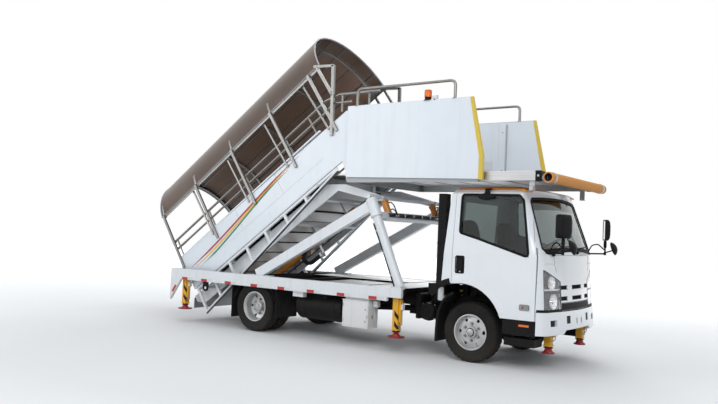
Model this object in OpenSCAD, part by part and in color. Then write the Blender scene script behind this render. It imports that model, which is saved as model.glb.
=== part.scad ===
// Truck-mounted passenger boarding stairs.
// Front axle at x = 0 before origin_shift, +X forward, +Y left, ground at z = 0. Millimetres.

/* [Chassis] */
// Distance between the axles
wheelbase = 3815; // [3400:5:4200]
// Height of the axle centres and outer radius of the tyres
tyre_r = 398; // [370:1:420]
// Width of one tyre
tyre_w = 225; // [195:1:245]
// Radius of the rim flange
rim_r = 237; // [220:1:250]
// Front tyre centre from the middle plane
front_y = 832; // [800:1:860]
// Outer rear tyre centre from the middle plane
rear_y = 940; // [900:1:960]
// Spacing of the twin rear tyres
twin_gap = 268; // [255:1:290]
// Half of the outside width over the chassis rails
rail_y = 375; // [340:1:420]
// Height of a chassis rail
rail_h = 205; // [160:5:240]
// Width of a chassis rail flange
rail_w = 65; // [50:1:80]
// Top of the chassis rails above ground
rail_top = 830; // [780:5:840]
// Rear end of the chassis rails behind the rear axle
rail_tail = 450; // [380:5:480]

/* [Deck] */
// Half width over the deck side rails
deck_y = 1141; // [1100:1:1180]
// Top of the deck side rails
deck_top = 908; // [880:1:940]
// Height of the deck side rails
deck_h = 190; // [150:5:220]
// Thickness of the deck side rails
deck_t = 50; // [40:1:80]
// Rear end of the deck behind the front axle
deck_rear = 5745; // [5600:5:5900]
// Front end of the deck behind the front axle
deck_front = 967; // [900:1:1040]
// Drop of the rear corner plates below the deck top
corner_drop = 545; // [450:5:600]

/* [Leg frame] */
// Radius of the outer leg tubes
leg_r = 65; // [50:1:80]
// Leg tube centre from the middle plane
leg_y = 1050; // [1000:1:1070]
// Foot of the leg axis behind the front axle
leg_x = 1040; // [1020:1:1120]
// Lean of the legs from the vertical, degrees
leg_lean = 24.1; // [20:0.1:28]
// Length of the outer leg tube along its axis
leg_len = 1365; // [1200:5:1420]
// Radius of the inner leg tubes
inner_leg_r = 52; // [40:1:60]
// Lift cylinder centre from the middle plane
lift_y = 710; // [690:1:712]

/* [Flights] */
// Rise of one step
step_rise = 180; // [160:1:200]
// Going of one step
step_going = 257; // [240:1:280]
// Half width between the outer faces of the upper side panels
panel_y = 950; // [900:1:980]
// Height of the side panels across the slope
panel_h = 670; // [600:5:740]
// Height of the thicker lower band of a side panel
band_h = 250; // [200:5:300]
// Thickness of the side panels
panel_t = 40; // [30:1:60]
// Number of steps on the upper flight
upper_steps_n = 9; // [6:1:10]
// Number of steps on the lower flight
lower_steps_n = 14; // [10:1:15]
// Travel of the upper flight along the slope
slide_travel = 2000; // [1000:10:2200]

/* [Canopy] */
// Half width of the canopy rails
canopy_y = 905; // [860:1:930]
// Height of the canopy rails across the slope
canopy_v = 1560; // [1450:5:1650]
// Spacing of the canopy bows
bow_pitch = 1030; // [900:5:1100]
// Thickness of the roof sheet
roof_t = 8; // [5:1:15]

/* [Platform] */
// Half width over the platform sides
plat_y = 1101; // [1050:1:1140]
// Underside of the platform sides
plat_bottom = 2477; // [2440:1:2520]
// Top of the platform sides
plat_top = 3528; // [3450:1:3600]
// Rear edge of the platform sides behind the front axle
plat_rear = 2050; // [1950:5:2150]
// Height of the platform floor
floor_z = 2550; // [2530:1:2600]
// Top of the platform hand rails
hand_z = 3800; // [3700:1:3900]
// Travel of the platform extension
ext_travel = 600; // [300:10:700]

/* [Cab] */
// Half width of the cab at the doors
cab_y = 992; // [960:1:1010]
// Half width of the cab at the roof
cab_roof_y = 917; // [880:1:940]
// Height of the roof edge
cab_roof = 2308; // [2250:1:2340]
// Front of the cab on the middle plane at the crease below the windscreen
cab_front = 1070; // [1040:1:1090]
// Height of that crease
cab_crease = 1530; // [1500:1:1560]
// Rake of the windscreen, degrees
screen_rake = 20.5; // [18:0.1:22]
// Thickness of the cab walls and doors
cab_t = 45; // [35:1:60]
// Gap round a door
door_gap = 6; // [5:0.5:10]
// Foot of the doors and of the cab front above ground
cab_low = 637; // [600:1:680]

/* [Jacks] */
// Side of the square jack barrels
jack_w = 90; // [70:1:110]
// Radius of the jack feet
pad_r = 100; // [80:1:120]
// Clearance of the raised feet above ground
pad_z = 205; // [180:1:230]

/* [Hidden] */
$fn = 48;
// Shift that puts the origin below the middle of the whole machine
origin_shift = 2704;
// Slope of the flights
slope = atan(step_rise / step_going);
slope_x = -4600;
slope_z = 1075;
step_len = norm([step_rise, step_going]);
// Nosing of the landing at the top of the upper flight
land_x = -2790;
// Gap between a piece and its seat
seat = 0.3;
// Running clearance of a shaft in its bore
run = 0.05;
white = [0.86, 0.87, 0.88];
dark = [0.09, 0.09, 0.1];
steel = [0.62, 0.62, 0.63];
orange = [0.8, 0.4, 0.08];
yellow = [0.9, 0.66, 0.08];

module shift() translate([origin_shift, 0, 0]) children();
module both() { children(); mirror([0, 1, 0]) children(); }
module on_slope() translate([slope_x, 0, slope_z]) rotate([0, -slope, 0]) children();
// Box from its low corner to its high corner
module bar(a, b) translate(a) cube(b - a);
// Round tube between two points
module rod(p, q, r) {
    d = q - p;
    l = norm(d);
    translate(p) rotate([0, acos(d[2] / l), atan2(d[1], d[0])]) cylinder(r = r, h = l);
}
// Square tube between two points of one XZ plane, w across Y, h in the plane
module beam(p, q, y, w, h) {
    d = q - p;
    translate([p[0], y - w / 2, p[1]]) rotate([0, -atan2(d[1], d[0]), 0])
        translate([0, 0, -h / 2]) cube([norm(d), w, h]);
}
// Profile in XZ extruded from y0 to y1
module side_plate(y0, y1) translate([0, y1, 0]) rotate([90, 0, 0]) linear_extrude(y1 - y0) children();

// Chassis

module chassis() color(dark) {
    x0 = -wheelbase - rail_tail;
    x1 = 1040;
    both() difference() {
        bar([x0, rail_y - rail_w, rail_top - rail_h], [x1, rail_y, rail_top]);
        bar([x0 - 1, rail_y - rail_w - 1, rail_top - rail_h + 7], [x1 + 1, rail_y - 7, rail_top - 7]);
    }
    for (x = [820, -1150, -1600, -2500, -3300, x0 + 40])
        bar([x - 30, -rail_y + 7, rail_top - rail_h + 30], [x + 30, rail_y - 7, rail_top - 30]);
    // Cab mounts
    both() bar([-420, rail_y - 55, rail_top], [-340, rail_y - 5, cab_floor - seat]);
    bar([-420, -rail_y + 55, cab_floor - 48], [-340, rail_y - 55, cab_floor - seat]);
    // Front jack carrier
    y = jack_front_y - jack_w / 2 - seat;
    bar([890, -y, rail_top - rail_h - 60], [1030, y, rail_top - rail_h]);
}
module leaf_spring(x, y, z, l) {
    for (i = [0:3])
        bar([x - l / 2 + i * 110, y - 35, z + i * -11], [x + l / 2 - i * 110, y + 35, z + 11 - i * 11]);
}
module front_axle() color(dark) {
    bar([-45, -600, tyre_r - 85], [45, 600, tyre_r - 5]);
    both() {
        difference() {
            union() {
                bar([-40, 590, tyre_r - 75], [40, king_y, tyre_r + 20]);
                translate([0, king_y, tyre_r - 80]) cylinder(r = 42, h = 160);
            }
            translate([0, king_y, tyre_r - 81]) cylinder(r = king_r + run, h = 162);
        }
        leaf_spring(0, 340, tyre_r + 45, 1150);
        bar([-60, 300, tyre_r - 5], [60, 380, tyre_r + 12]);
        for (x = [-545, 545]) bar([x - 25, 305, tyre_r + 56], [x + 25, 375, rail_top - rail_h]);
    }
}
module rear_axle() color(dark) {
    translate([-wheelbase, 0, tyre_r]) {
        rotate([90, 0, 0]) cylinder(r = 62, h = 1040, center = true);
        translate([-20, 0, 0]) sphere(r = 165);
        rotate([0, 90, 0]) cylinder(r = 60, h = 230);
        both() translate([0, 520, 0]) rotate([-90, 0, 0]) cylinder(r = hub_r, h = rear_y - 520);
    }
    both() {
        leaf_spring(-wheelbase, 420, tyre_r + 95, 1250);
        bar([-wheelbase - 70, 380, tyre_r + 50], [-wheelbase + 70, 460, tyre_r + 62]);
        for (x = [-wheelbase - 595, -wheelbase + 595])
            bar([x - 25, 385, tyre_r + 106], [x + 25, 455, rail_top - rail_h + 40]);
    }
    rod([-wheelbase + 230, 0, tyre_r], [-1075, 0, 560], 45);
}
module engine() color([0.2, 0.2, 0.21]) {
    bar([-420, -280, 420], [620, 280, 980]);
    // Mounting feet on the chassis rails
    both() for (x = [-300, 420]) bar([x, 270, rail_top + seat], [x + 90, rail_y - 15, rail_top + 35]);
    translate([-420, 0, 600]) rotate([0, -90, 0]) cylinder(r1 = 210, r2 = 120, h = 650);
}
module tanks() color([0.12, 0.12, 0.13]) {
    y = rail_y + seat;
    // Rear end of the tanks, clear of the rear fenders
    e = -wheelbase + 825;
    rod([e, -760, 500], [-2130, -760, 500], 215);
    for (x = [e + 90, -2300]) bar([x, -700, 600], [x + 40, -y, 680]);
    bar([-1850, 560, 380], [-1300, 1000, 690]);
    for (x = [-1800, -1400]) bar([x, y, 640], [x + 50, 560, 680]);
    rod([e + 90, 620, 560], [-2150, 620, 560], 130);
    for (x = [e + 190, -2300]) bar([x, y, 640], [x + 50, 600, 680]);
}

// Deck

module deck_sides() color(white) both() side_plate(deck_y - deck_t, deck_y)
    polygon([[-deck_rear, deck_top], [-deck_rear, deck_top - corner_drop],
        [-deck_rear + 255, deck_top - deck_h + 8], [-deck_front - 240, deck_top - deck_h],
        [-deck_front - 240, deck_top - deck_h + 55], [-deck_front, deck_top - deck_h + 55],
        [-deck_front, deck_top]]);
// Underside of the deck's side bars, clear of the rear tyres
deck_beam = rail_top - 25;
// Hinge of the lower flight, on plates that hang from the side bars
flight_hinge = slope_point(-600, -150);
hinge_pin_r = 25;
plate_y = 991;
module deck_frame() color(dark) {
    w = deck_y - deck_t;
    h0 = rail_top;
    h1 = deck_top - 12;
    for (x = [-1180, -1700, -2300, -3000, -3630, -4000]) bar([x - 40, -w, h0], [x + 40, w, h1]);
    both() bar([-deck_rear + 30, w - 100, deck_beam], [-deck_front - 20, w, h1 - 8]);
    both() side_plate(plate_y, plate_y + 20) difference() {
        translate([flight_hinge[0], flight_hinge[1]]) union() {
            circle(r = 60);
            translate([-60, 0]) square([120, deck_beam + 10 - flight_hinge[1]]);
        }
        translate([flight_hinge[0], flight_hinge[1]]) circle(r = hinge_pin_r + run);
    }
    bar([-1600, -w, h1], [-1000, w, deck_top - 6]);
    bar([-2500, -w, h1], [-1660, -200, deck_top - 6]);
    bar([-3650, 200, h1], [-1660, w, deck_top - 6]);
}

// Leg frame

function leg_point(s) = [-leg_x - s * sin(leg_lean), deck_top + s * cos(leg_lean)];
cross_s = leg_len - 265;
module leg_frame() color(white) {
    a = leg_point(0);
    b = leg_point(leg_len);
    c = leg_point(leg_len - 90);
    both() {
        difference() {
            union() {
                rod([a[0], leg_y, a[1]], [b[0], leg_y, b[1]], leg_r);
                d = leg_point(leg_len - 260);
                rod([d[0], leg_y, d[1]], [b[0], leg_y, b[1]], leg_r + 18);
            }
            rod([leg_point(200)[0], leg_y, leg_point(200)[1]],
                [leg_point(leg_len + 10)[0], leg_y, leg_point(leg_len + 10)[1]], inner_leg_r + 1);
            bar([-2000, 0, deck_top - 200], [0, 2000, deck_top]);
        }
        difference() {
            beam([-3750, deck_top + 20], c, leg_y, 100, 150);
            bar([-4200, 0, deck_top - 200], [0, 2000, deck_top]);
            rod([a[0], leg_y, a[1]], [leg_point(leg_len + 99)[0], leg_y, leg_point(leg_len + 99)[1]], leg_r - 1);
        }
        e = leg_point(cross_s);
        translate([e[0], 0, e[1]]) rotate([0, -leg_lean, 0])
            side_plate(leg_y - leg_r - 175, leg_y - leg_r + 8) polygon([[-10, -60], [10, -60], [10, 60], [-10, 60]]);
    }
    e = leg_point(cross_s);
    translate([e[0], 0, e[1]]) rotate([0, -leg_lean, 0])
        bar([-50, -leg_y + leg_r - 6, -50], [50, leg_y - leg_r + 6, 50]);
}
module lift_barrels() color(orange) both() {
    a = leg_point(cross_s + 50 + seat);
    b = leg_point(cross_s + 255);
    difference() {
        rod([a[0], lift_y, a[1]], [b[0], lift_y, b[1]], 50);
        rod([leg_point(cross_s + 90)[0], lift_y, leg_point(cross_s + 90)[1]],
            [leg_point(cross_s + 400)[0], lift_y, leg_point(cross_s + 400)[1]], 30 + seat);
    }
}

// Jacks: x, y, top of the barrel, foot of the barrel

jack_front_x = 960;
jack_front_y = 600;
jack_top = deck_beam - seat;
jacks = [[-5490, 1005, jack_top, 300], [-1110, 1005, jack_top, 310],
    [jack_front_x, jack_front_y, 620, 300]];
module jack_barrels() color(yellow) for (j = jacks) both() difference() {
    union() {
        bar([j[0] - jack_w / 2, j[1] - jack_w / 2, j[3]], [j[0] + jack_w / 2, j[1] + jack_w / 2, j[2]]);
        bar([j[0] + jack_w / 2, j[1] - 25, j[3] + 120], [j[0] + jack_w / 2 + 35, j[1] + 25, j[2] - 60]);
    }
    translate([j[0], j[1], j[3] - 1]) cylinder(r = 30 + seat, h = j[2] - j[3] - 20);
}
module jack_foot(i, side) color([0.62, 0.08, 0.1]) {
    j = jacks[i];
    translate([j[0], side * j[1], pad_z]) {
        cylinder(r = pad_r, h = 14);
        translate([0, 0, 14]) cylinder(r1 = 70, r2 = 36, h = 30);
        translate([0, 0, 14]) cylinder(r = 30, h = j[3] - pad_z + 230);
    }
}
module control_box() color(white) {
    bar([-1978, -1120, 290], [-1523, -870, 675]);
    bar([-1960, -1080, 675], [-1540, -1010, deck_beam - seat]);
}
module fenders() color(dark) both() {
    y0 = rear_y - twin_gap - 125;
    y1 = rear_y + tyre_w / 2 + 10;
    difference() {
        translate([-wheelbase, y0, tyre_r]) rotate([-90, 0, 0]) cylinder(r = tyre_r + 62, h = y1 - y0);
        translate([-wheelbase, y0 - 1, tyre_r]) rotate([-90, 0, 0]) cylinder(r = tyre_r + 54, h = y1 - y0 + 2);
        bar([-wheelbase - 900, y0 - 1, -200], [-wheelbase + 900, y1 + 1, tyre_r + 120]);
        bar([-wheelbase - 900, y0 - 1, deck_beam - seat], [-wheelbase + 900, y1 + 1, 1200]);
    }
    for (x = [-wheelbase - tyre_r - 90, -wheelbase + tyre_r + 80]) {
        bar([x - 5, y0, x < -wheelbase ? 190 : 260], [x + 5, y1, 740]);
        bar([x - 15, deck_y - deck_t - 95, 700], [x + 15, y1, deck_beam - seat]);
    }
}

// Cab

cab_big_r = 4000;
cab_corner_r = 170;
arch_x = -130;
arch_z = 430;
arch_r = 612;
cab_tilt = 4;
cab_floor = 1034;
// Door hinge axis and the radius of the rolled door edge
hinge_x = 890;
hinge_y = cab_y - 30;
hinge_r = 30;
king_y = 690;
king_r = 20;
hub_r = 40;
// Plan outline of the cab front, t inside the outer skin
module cab_plan(t) {
    yc = cab_y - cab_corner_r;
    rr = cab_big_r - cab_corner_r;
    xc = cab_front - cab_big_r + sqrt(rr * rr - yc * yc);
    th = asin(yc / rr);
    translate([-900, -(cab_y - t)]) square([xc + 900, 2 * (cab_y - t)]);
    for (s = [-1, 1]) translate([xc, s * yc]) circle(r = cab_corner_r - t, $fn = 96);
    intersection() {
        translate([cab_front - cab_big_r, 0]) circle(r = cab_big_r - t, $fn = 720);
        translate([cab_front - cab_big_r, 0]) scale(2 * cab_big_r)
            polygon([[0, 0], [cos(th), sin(th)], [cos(th), -sin(th)]]);
    }
}
module cab_prism(t, tilt) translate([cab_front, 0, cab_crease]) rotate([0, -tilt, 0])
    translate([-cab_front, 0, -2000]) linear_extrude(4000) cab_plan(t);
function arc(cx, cz, r, a0, a1, n) = [for (i = [0:n]) [cx + r * cos(a0 + (a1 - a0) * i / n),
    cz + r * sin(a0 + (a1 - a0) * i / n)]];
// Side outline without the front, from the rear foot round the roof and back along the arch
function cab_side(t) = concat(
    [[-426 + t, cab_floor + t], [-352 + t, cab_roof - 118]],
    arc(-352 + 110, cab_roof - 110, 110 - t, 172, 90, 6),
    [[1400, cab_roof - t], [1400, cab_low + t]],
    arc(arch_x, arch_z, arch_r + t, asin((cab_low + t - arch_z) / (arch_r + t)), 98, 10));
module cab_front_view(t) polygon([[-cab_y + t, 500], [-cab_y + t, 1450], [-cab_roof_y + t, cab_roof - 60],
    [-cab_roof_y + 60, cab_roof - t], [cab_roof_y - 60, cab_roof - t], [cab_roof_y - t, cab_roof - 60],
    [cab_y - t, 1450], [cab_y - t, 500]]);
module cab_body(t) intersection() {
    intersection() {
        side_plate(-1100, 1100) polygon(cab_side(t));
        rotate([90, 0, 90]) translate([0, 0, -900]) linear_extrude(2600) cab_front_view(t);
    }
    intersection() {
        cab_prism(t, cab_tilt);
        cab_prism(t, screen_rake);
    }
}
// Door outline grown by g
function door_outline(g) = concat(
    [[-271 - g, 1000], [-271 - g, cab_roof - 32 + g], [690 + g * 0.7, cab_roof - 32 + g], [760 + g, cab_roof - 98 + g],
     [911 + g, 1440], [911 + g, cab_low - 20]],
    arc(arch_x, arch_z, arch_r - 20, asin((cab_low - 20 - arch_z) / (arch_r - 20)), 104, 9));
// Inner face of the doors' floor strip from the middle plane
door_in = 865;
module door_prism(g) side_plate(door_in - g, 1200) polygon(door_outline(g));
window = [[-183, 1718], [-185, cab_roof - 73], [640, cab_roof - 80], [700, cab_roof - 148],
    [815, 1432], [103, 1643]];
module hinge_post(r, z0, z1) translate([hinge_x, hinge_y, z0]) cylinder(r = r, h = z1 - z0);
// Opening over the engine: front of its rear edge, half width, height
tunnel_x = 100;
tunnel_y = 430;
tunnel_z = 1060;
// Lower edge of the cab front and of the head lamps
lamp_foot = 762;
// Left and right edges of the grille slots
slots = [[-530, -330], [-180, 180], [330, 530]];
module windscreen() translate([cab_front, 0, cab_crease]) rotate([0, -screen_rake, 0]) translate([-700, 0, 0])
    rotate([90, 0, 90]) linear_extrude(900) polygon([[-830, 8], [-885, 70], [-812, 690], [-768, 735],
        [768, 735], [812, 690], [885, 70], [830, 8]]);
// Outline of the head lamps seen from the front, g inside the recess
module lamp_prism(g) both() translate([880, 0, 0]) rotate([90, 0, 90]) linear_extrude(420)
    polygon([[510 + g, lamp_foot - 10], [912 - g, lamp_foot - 10], [905 - g, 1282 - g], [880, 1282 - g],
        [510 + g, 1135 - g]]);
module cab_shell() color(white) {
    both() hinge_post(8, 1480, 1640);
    cab_walls();
}
module cab_walls() difference() {
    cab_body(0);
    cab_body(cab_t);
    both() door_prism(door_gap);
    both() hinge_post(hinge_r + door_gap, 500, 1560);
    // Room for the engine and the chassis rails, and the bumper gap
    bar([tunnel_x, -tunnel_y, 500], [1060, tunnel_y, tunnel_z]);
    bar([925, -1100, 500], [1400, 1100, lamp_foot]);
    windscreen();
    bar([-700, -560, 1500], [0, 560, cab_roof - 158]);
    lamp_prism(0);
    for (z = [895, 1036]) for (c = slots) bar([1000, c[0], z], [1400, c[1], z + 40]);
}
module roof_cap() color(orange) intersection() {
    translate([0, 0, 40]) cab_body(0);
    bar([-280, -cab_roof_y + 30, cab_roof], [1000, cab_roof_y - 30, cab_roof + 40]);
}
module cab_glass() color([0.3, 0.38, 0.4]) difference() {
    intersection() {
        cab_body(18);
        union() {
            windscreen();
            bar([-700, -560, 1500], [0, 560, cab_roof - 158]);
        }
    }
    cab_body(24);
}
module lamps() color([0.75, 0.76, 0.78]) intersection() {
    difference() {
        cab_body(2);
        cab_body(cab_t - 1);
    }
    difference() {
        lamp_prism(seat);
        bar([800, -1000, 700], [1400, 1000, lamp_foot]);
    }
}
bumper_top = 750;
module bumper() color(white) difference() {
    intersection() {
        cab_prism(-15, cab_tilt);
        bar([935, -1010, 461], [1400, 1010, bumper_top]);
    }
    difference() {
        cab_prism(25, cab_tilt);
        both() bar([1040 + seat, rail_y - rail_w, rail_top - rail_h + 20], [1400, rail_y, bumper_top]);
    }
    // Air inlets, fog lamp recesses and the raised lower edge in the middle
    both() {
        bar([900, 295, 590], [1400, 410, 690]);
        bar([900, 665, 572], [1400, 820, 650]);
    }
    rotate([90, 0, 90]) linear_extrude(1400) polygon([[-600, 400], [-430, 510], [430, 510], [600, 400]]);
}
module mirrors() color(dark) both() difference() {
    union() {
        rod([950, 760, 1495], [1205, 850, 1505], 11);
        rod([1205, 850, 1490], [1205, 850, 1850], 12);
        // Head of the main mirror
        translate([1205, 850, 1843]) rotate([0, 0, 25]) difference() {
            translate([-22, 0, 0]) rotate([0, 90, 0]) linear_extrude(44) offset(r = 35) square([230, 160], center = true);
            bar([-30, -100, -135], [-16, 100, 135]);
        }
        // Round close view mirror
        rod([1205, 850, 1520], [1345, 850, 1568], 9);
        translate([1320, 850, 1582]) rotate([0, 70, 0]) intersection() {
            cylinder(r = 97, h = 60);
            translate([0, 0, -62]) sphere(r = 117);
        }
    }
    cab_body(-seat);
}
sill_end = 912;
module cab_trim() color(dark) {
    // Sills with the lower hinge pins, steps, arch liners and the air stack behind the cab
    both() {
        bar([478, 820, 440], [sill_end, 975, cab_low - door_gap - 3]);
        bar([500, 560, 560], [sill_end, 820, 600]);
        bar([500, 560, 600], [sill_end, 590, cab_low - seat]);
        bar([500, 700, 300], [sill_end, 960, 400]);
        for (x = [560, 820]) bar([x, 830, 400], [x + 40, 900, 440]);
        hinge_post(8, 600, 690);
    }
    bar([-560, -900, 1000], [-440, -780, 2240]);
    for (z = [1100, 2000]) bar([-440, -860, z], [-426.5 + (z - cab_floor) * 0.064, -820, z + 40]);
    bar([-700, -860, 850], [-440, -420, 1000]);
    bar([-700, -420, 850], [-600, -345, 900]);
    bar([-700, -420, rail_top], [-600, -345, 850]);
    both() for (b = [[540, 595, arch_r - 2], [540, 940, arch_r - door_gap]]) difference() {
        translate([arch_x, b[0], arch_z]) rotate([-90, 0, 0]) cylinder(r = b[2], h = b[1] - b[0]);
        translate([arch_x, b[0] - 1, arch_z]) rotate([-90, 0, 0]) cylinder(r = arch_r - 14, h = 500);
        bar([-900, 500, -300], [900, 1000, arch_z + 180]);
        bar([-900, 500, arch_z + 160], [arch_x - 90, 1000, 1300]);
    }
}
// Underside of the seats, just above the wheel arches
seat_z = arch_z + arch_r + cab_t + seat;
wheel_at = [550, 480, 1575];
module cab_interior() color([0.2, 0.2, 0.22]) {
    both() {
        bar([-200, 330, seat_z], [280, 840, 1330]);
        translate([-190, 330, 1330]) rotate([0, -9, 0]) cube([120, 510, 600]);
        // Toe boards
        bar([880, tunnel_y - 20, cab_low + cab_t + seat], [900, 850, 1240]);
    }
    bar([-200, -280, seat_z], [260, 280, 1300]);
    // Engine cover in the floor
    difference() {
        bar([tunnel_x + seat, -tunnel_y + seat, cab_low + cab_t], [1020, tunnel_y - seat, tunnel_z - seat]);
        bar([0, -tunnel_y + 20, 500], [1021, tunnel_y - 20, tunnel_z - 20]);
    }
    bar([880, -tunnel_y + 1, tunnel_z - 10], [900, tunnel_y - 1, 1240]);
    intersection() {
        cab_body(cab_t + seat);
        bar([700, -850, 1180], [1200, 850, 1480]);
    }
    rod([760, wheel_at[1], 1250], wheel_at, 22);
    translate(wheel_at) rotate([0, -35, 0]) {
        rotate_extrude() translate([205, 0]) circle(r = 15);
        translate([0, 0, -40]) cylinder(r = 34, h = 52);
        for (a = [90, 210, 330]) rotate([0, 0, a]) translate([0, -14, -10]) cube([200, 28, 16]);
    }
}
module door(side) color(white) mirror([0, side < 0 ? 1 : 0, 0]) difference() {
    intersection() {
        cab_body(0);
        door_prism(0);
        union() {
            bar([-500, 500, 500], [hinge_x, 1100, 2400]);
            hinge_post(hinge_r, 500, 1700);
        }
    }
    hinge_post(8 + run, 500, 695);
    hinge_post(8 + run, 1475, 1700);
    cab_body(cab_t);
    side_plate(500, 1200) polygon(window);
    bar([-216, cab_y - 18, 1180], [-96, 1100, 1400]);
}
module door_glass(side) color([0.3, 0.38, 0.4]) mirror([0, side < 0 ? 1 : 0, 0]) difference() {
    intersection() {
        cab_body(18);
        side_plate(500, 1200) polygon(window);
    }
    cab_body(24);
}

// Wheels

module tyre_ring() rotate_extrude($fn = 72) polygon([[rim_r, -85], [rim_r + 40, -108], [tyre_r - 60, -tyre_w / 2],
    [tyre_r - 16, -tyre_w / 2 + 12], [tyre_r, -tyre_w / 2 + 38], [tyre_r, tyre_w / 2 - 38],
    [tyre_r - 16, tyre_w / 2 - 12], [tyre_r - 60, tyre_w / 2], [rim_r + 40, 108], [rim_r, 85]]);
module rim(dish, bore) difference() {
  union() {
    difference() {
        rotate_extrude($fn = 72) polygon([[rim_r - 1, -95], [rim_r - 1, 95], [rim_r - 14, 95], [rim_r - 30, 60],
            [rim_r - 34, dish + 12], [150, dish + 22], [0, dish + 22], [0, dish + 4], [150, dish + 4],
            [rim_r - 44, dish - 10], [rim_r - 34, -60], [rim_r - 14, -95]]);
        for (i = [0:5]) rotate([0, 0, i * 60]) translate([172, 0, dish - 40]) cylinder(r = 22, h = 120);
    }
    translate([0, 0, dish - 50]) cylinder(r = 78, h = 117);
    for (i = [0:5]) rotate([0, 0, i * 60 + 30]) translate([111, 0, dish + 22]) cylinder(r = 14, h = 28);
  }
  translate([0, 0, bore[0]]) cylinder(r = hub_r + run, h = bore[1] - bore[0]);
}
module wheel_place(x, y) translate([x, y, tyre_r]) rotate([y > 0 ? -90 : 90, 0, 0]) children();
module front_rim(side) color(steel) wheel_place(0, side * front_y) rim(20, [-200, 50]);
module front_tyre(side) color(dark) wheel_place(0, side * front_y) tyre_ring();
module rear_rim(side) color(steel) {
    wheel_place(-wheelbase, side * rear_y) mirror([0, 0, 1]) rim(40, [0, 200]);
    wheel_place(-wheelbase, side * (rear_y - twin_gap)) rim(40, [-200, 200]);
}
module rear_tyre(side) color(dark) for (y = [rear_y, rear_y - twin_gap])
    wheel_place(-wheelbase, side * y) tyre_ring();
module knuckle(side) color(dark) mirror([0, side < 0 ? 1 : 0, 0]) translate([0, king_y, tyre_r]) {
    for (z = [-106, 80 + seat]) bar([-42, -42, z], [42, 75, z + 26 - seat]);
    bar([-42, 52, -106], [42, 75, 106]);
    translate([0, 0, -100]) cylinder(r = king_r, h = 200);
    translate([0, 74, 0]) rotate([-90, 0, 0]) cylinder(r = hub_r, h = front_y - king_y - 74 + 40);
    bar([-200, 14, -106], [-42, 38, -80 - seat]);
}

// Lift head: inner legs and cylinder rods below the flights' head shaft

head_s = leg_len + 45;
head = leg_point(head_s);
module lift_head() color(steel) both() {
    top = leg_point(head_s - head_r - seat);
    a = leg_point(220);
    rod([a[0], leg_y, a[1]], [top[0], leg_y, top[1]], inner_leg_r);
    c = leg_point(cross_s + 110);
    rod([c[0], lift_y, c[1]], [top[0], lift_y, top[1]], 30);
}

// Flights

// Steps of a flight: x of the nosing, height of the tread
module step(x, z, w, t, riser) {
    bar([x, -w, z - t], [x + step_going + 6, w, z]);
    bar([x, -w, z - riser], [x + 6, w, z - t]);
}
lower_y = 800;
truss_y = panel_y - panel_t + 22;
low_nose = -35;
low_end = -1100;
head_r = 34;
// First tread of the lower flight
low_x = -5530;
low_first = slope_z + (low_x - slope_x) * tan(slope) + low_nose / cos(slope);
module lower_steps() color(steel) for (k = [0:lower_steps_n - 1]) if (low_x + k * step_going < -2700)
    step(low_x + k * step_going, low_first + k * step_rise, lower_y - 30 - seat, 4, step_rise);
function slope_point(u, v) = [slope_x + u * cos(slope) - v * sin(slope),
    slope_z + u * sin(slope) + v * cos(slope)];
module lower_frame() color(white) {
    // Stringers, cut level below the landing, with a nose down to the head shaft
    both() side_plate(lower_y - 30, lower_y) polygon([slope_point(low_end, -40), slope_point(2350, -40),
        [slope_point(2350, -40)[0] + 400, slope_point(2350, -40)[1]],
        [head[0] + 60, head[1] + 20], [head[0] + 50, head[1] - 50], [head[0] - 60, head[1] - 50],
        slope_point(2500, -260), slope_point(low_end + 160, -260), slope_point(low_end, -150)]);
    rod([head[0], -leg_y - 60, head[1]], [head[0], leg_y + 60, head[1]], head_r);
    on_slope() both() {
        // Side truss: top tube, lower chord and posts
        bar([-850, truss_y - 18, -50], [2750, truss_y + 18, -10]);
        for (u = [-850, -430, 30, 500, 980, 1470, 1970])
            bar([u, truss_y - 18, -490 + (u + 850) * 0.12], [u + 45, truss_y + 18, -50]);
        for (u = [-850, 30, 980, 1970, 2300]) bar([u, lower_y, -50], [u + 45, truss_y, -10]);
        beam([-850, -490], [2750, -60], truss_y, 36, 40);
    }
    // Hinge pins
    both() rod([flight_hinge[0], lower_y - 10, flight_hinge[1]],
        [flight_hinge[0], plate_y + 18, flight_hinge[1]], hinge_pin_r);
    on_slope() for (u = [-330, 1500]) bar([u, -lower_y + 30, -260], [u + 60, lower_y - 30, -200]);
    on_slope() bar([cyl_foot - 60, -40, cyl_v - 40], [cyl_foot, 40, -260]);
}
// Slide cylinder
cyl_v = -360;
cyl_foot = -270;
cyl_top = 2150;
cyl_r = 60;
slide_rod_r = 38;
rod_end = 2560;
rod_eye = 50;
rod_web = 40;
module slide_barrel() color(orange) on_slope() difference() {
    union() {
        rod([cyl_foot + seat, 0, cyl_v], [cyl_top, 0, cyl_v], cyl_r);
        rod([cyl_top - 100, 0, cyl_v], [cyl_top, 0, cyl_v], cyl_r + 12);
        bar([1500, -30, cyl_v + 40], [1560, 30, -260 - seat]);
    }
    rod([cyl_foot + 70, 0, cyl_v], [cyl_top + 50, 0, cyl_v], slide_rod_r + seat);
}
module slide_rod() color(steel) on_slope() {
    rod([cyl_foot + 120, 0, cyl_v], [rod_end, 0, cyl_v], slide_rod_r);
}
panel_rear = -900;
panel_front_x = -plat_rear - 30;
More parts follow.
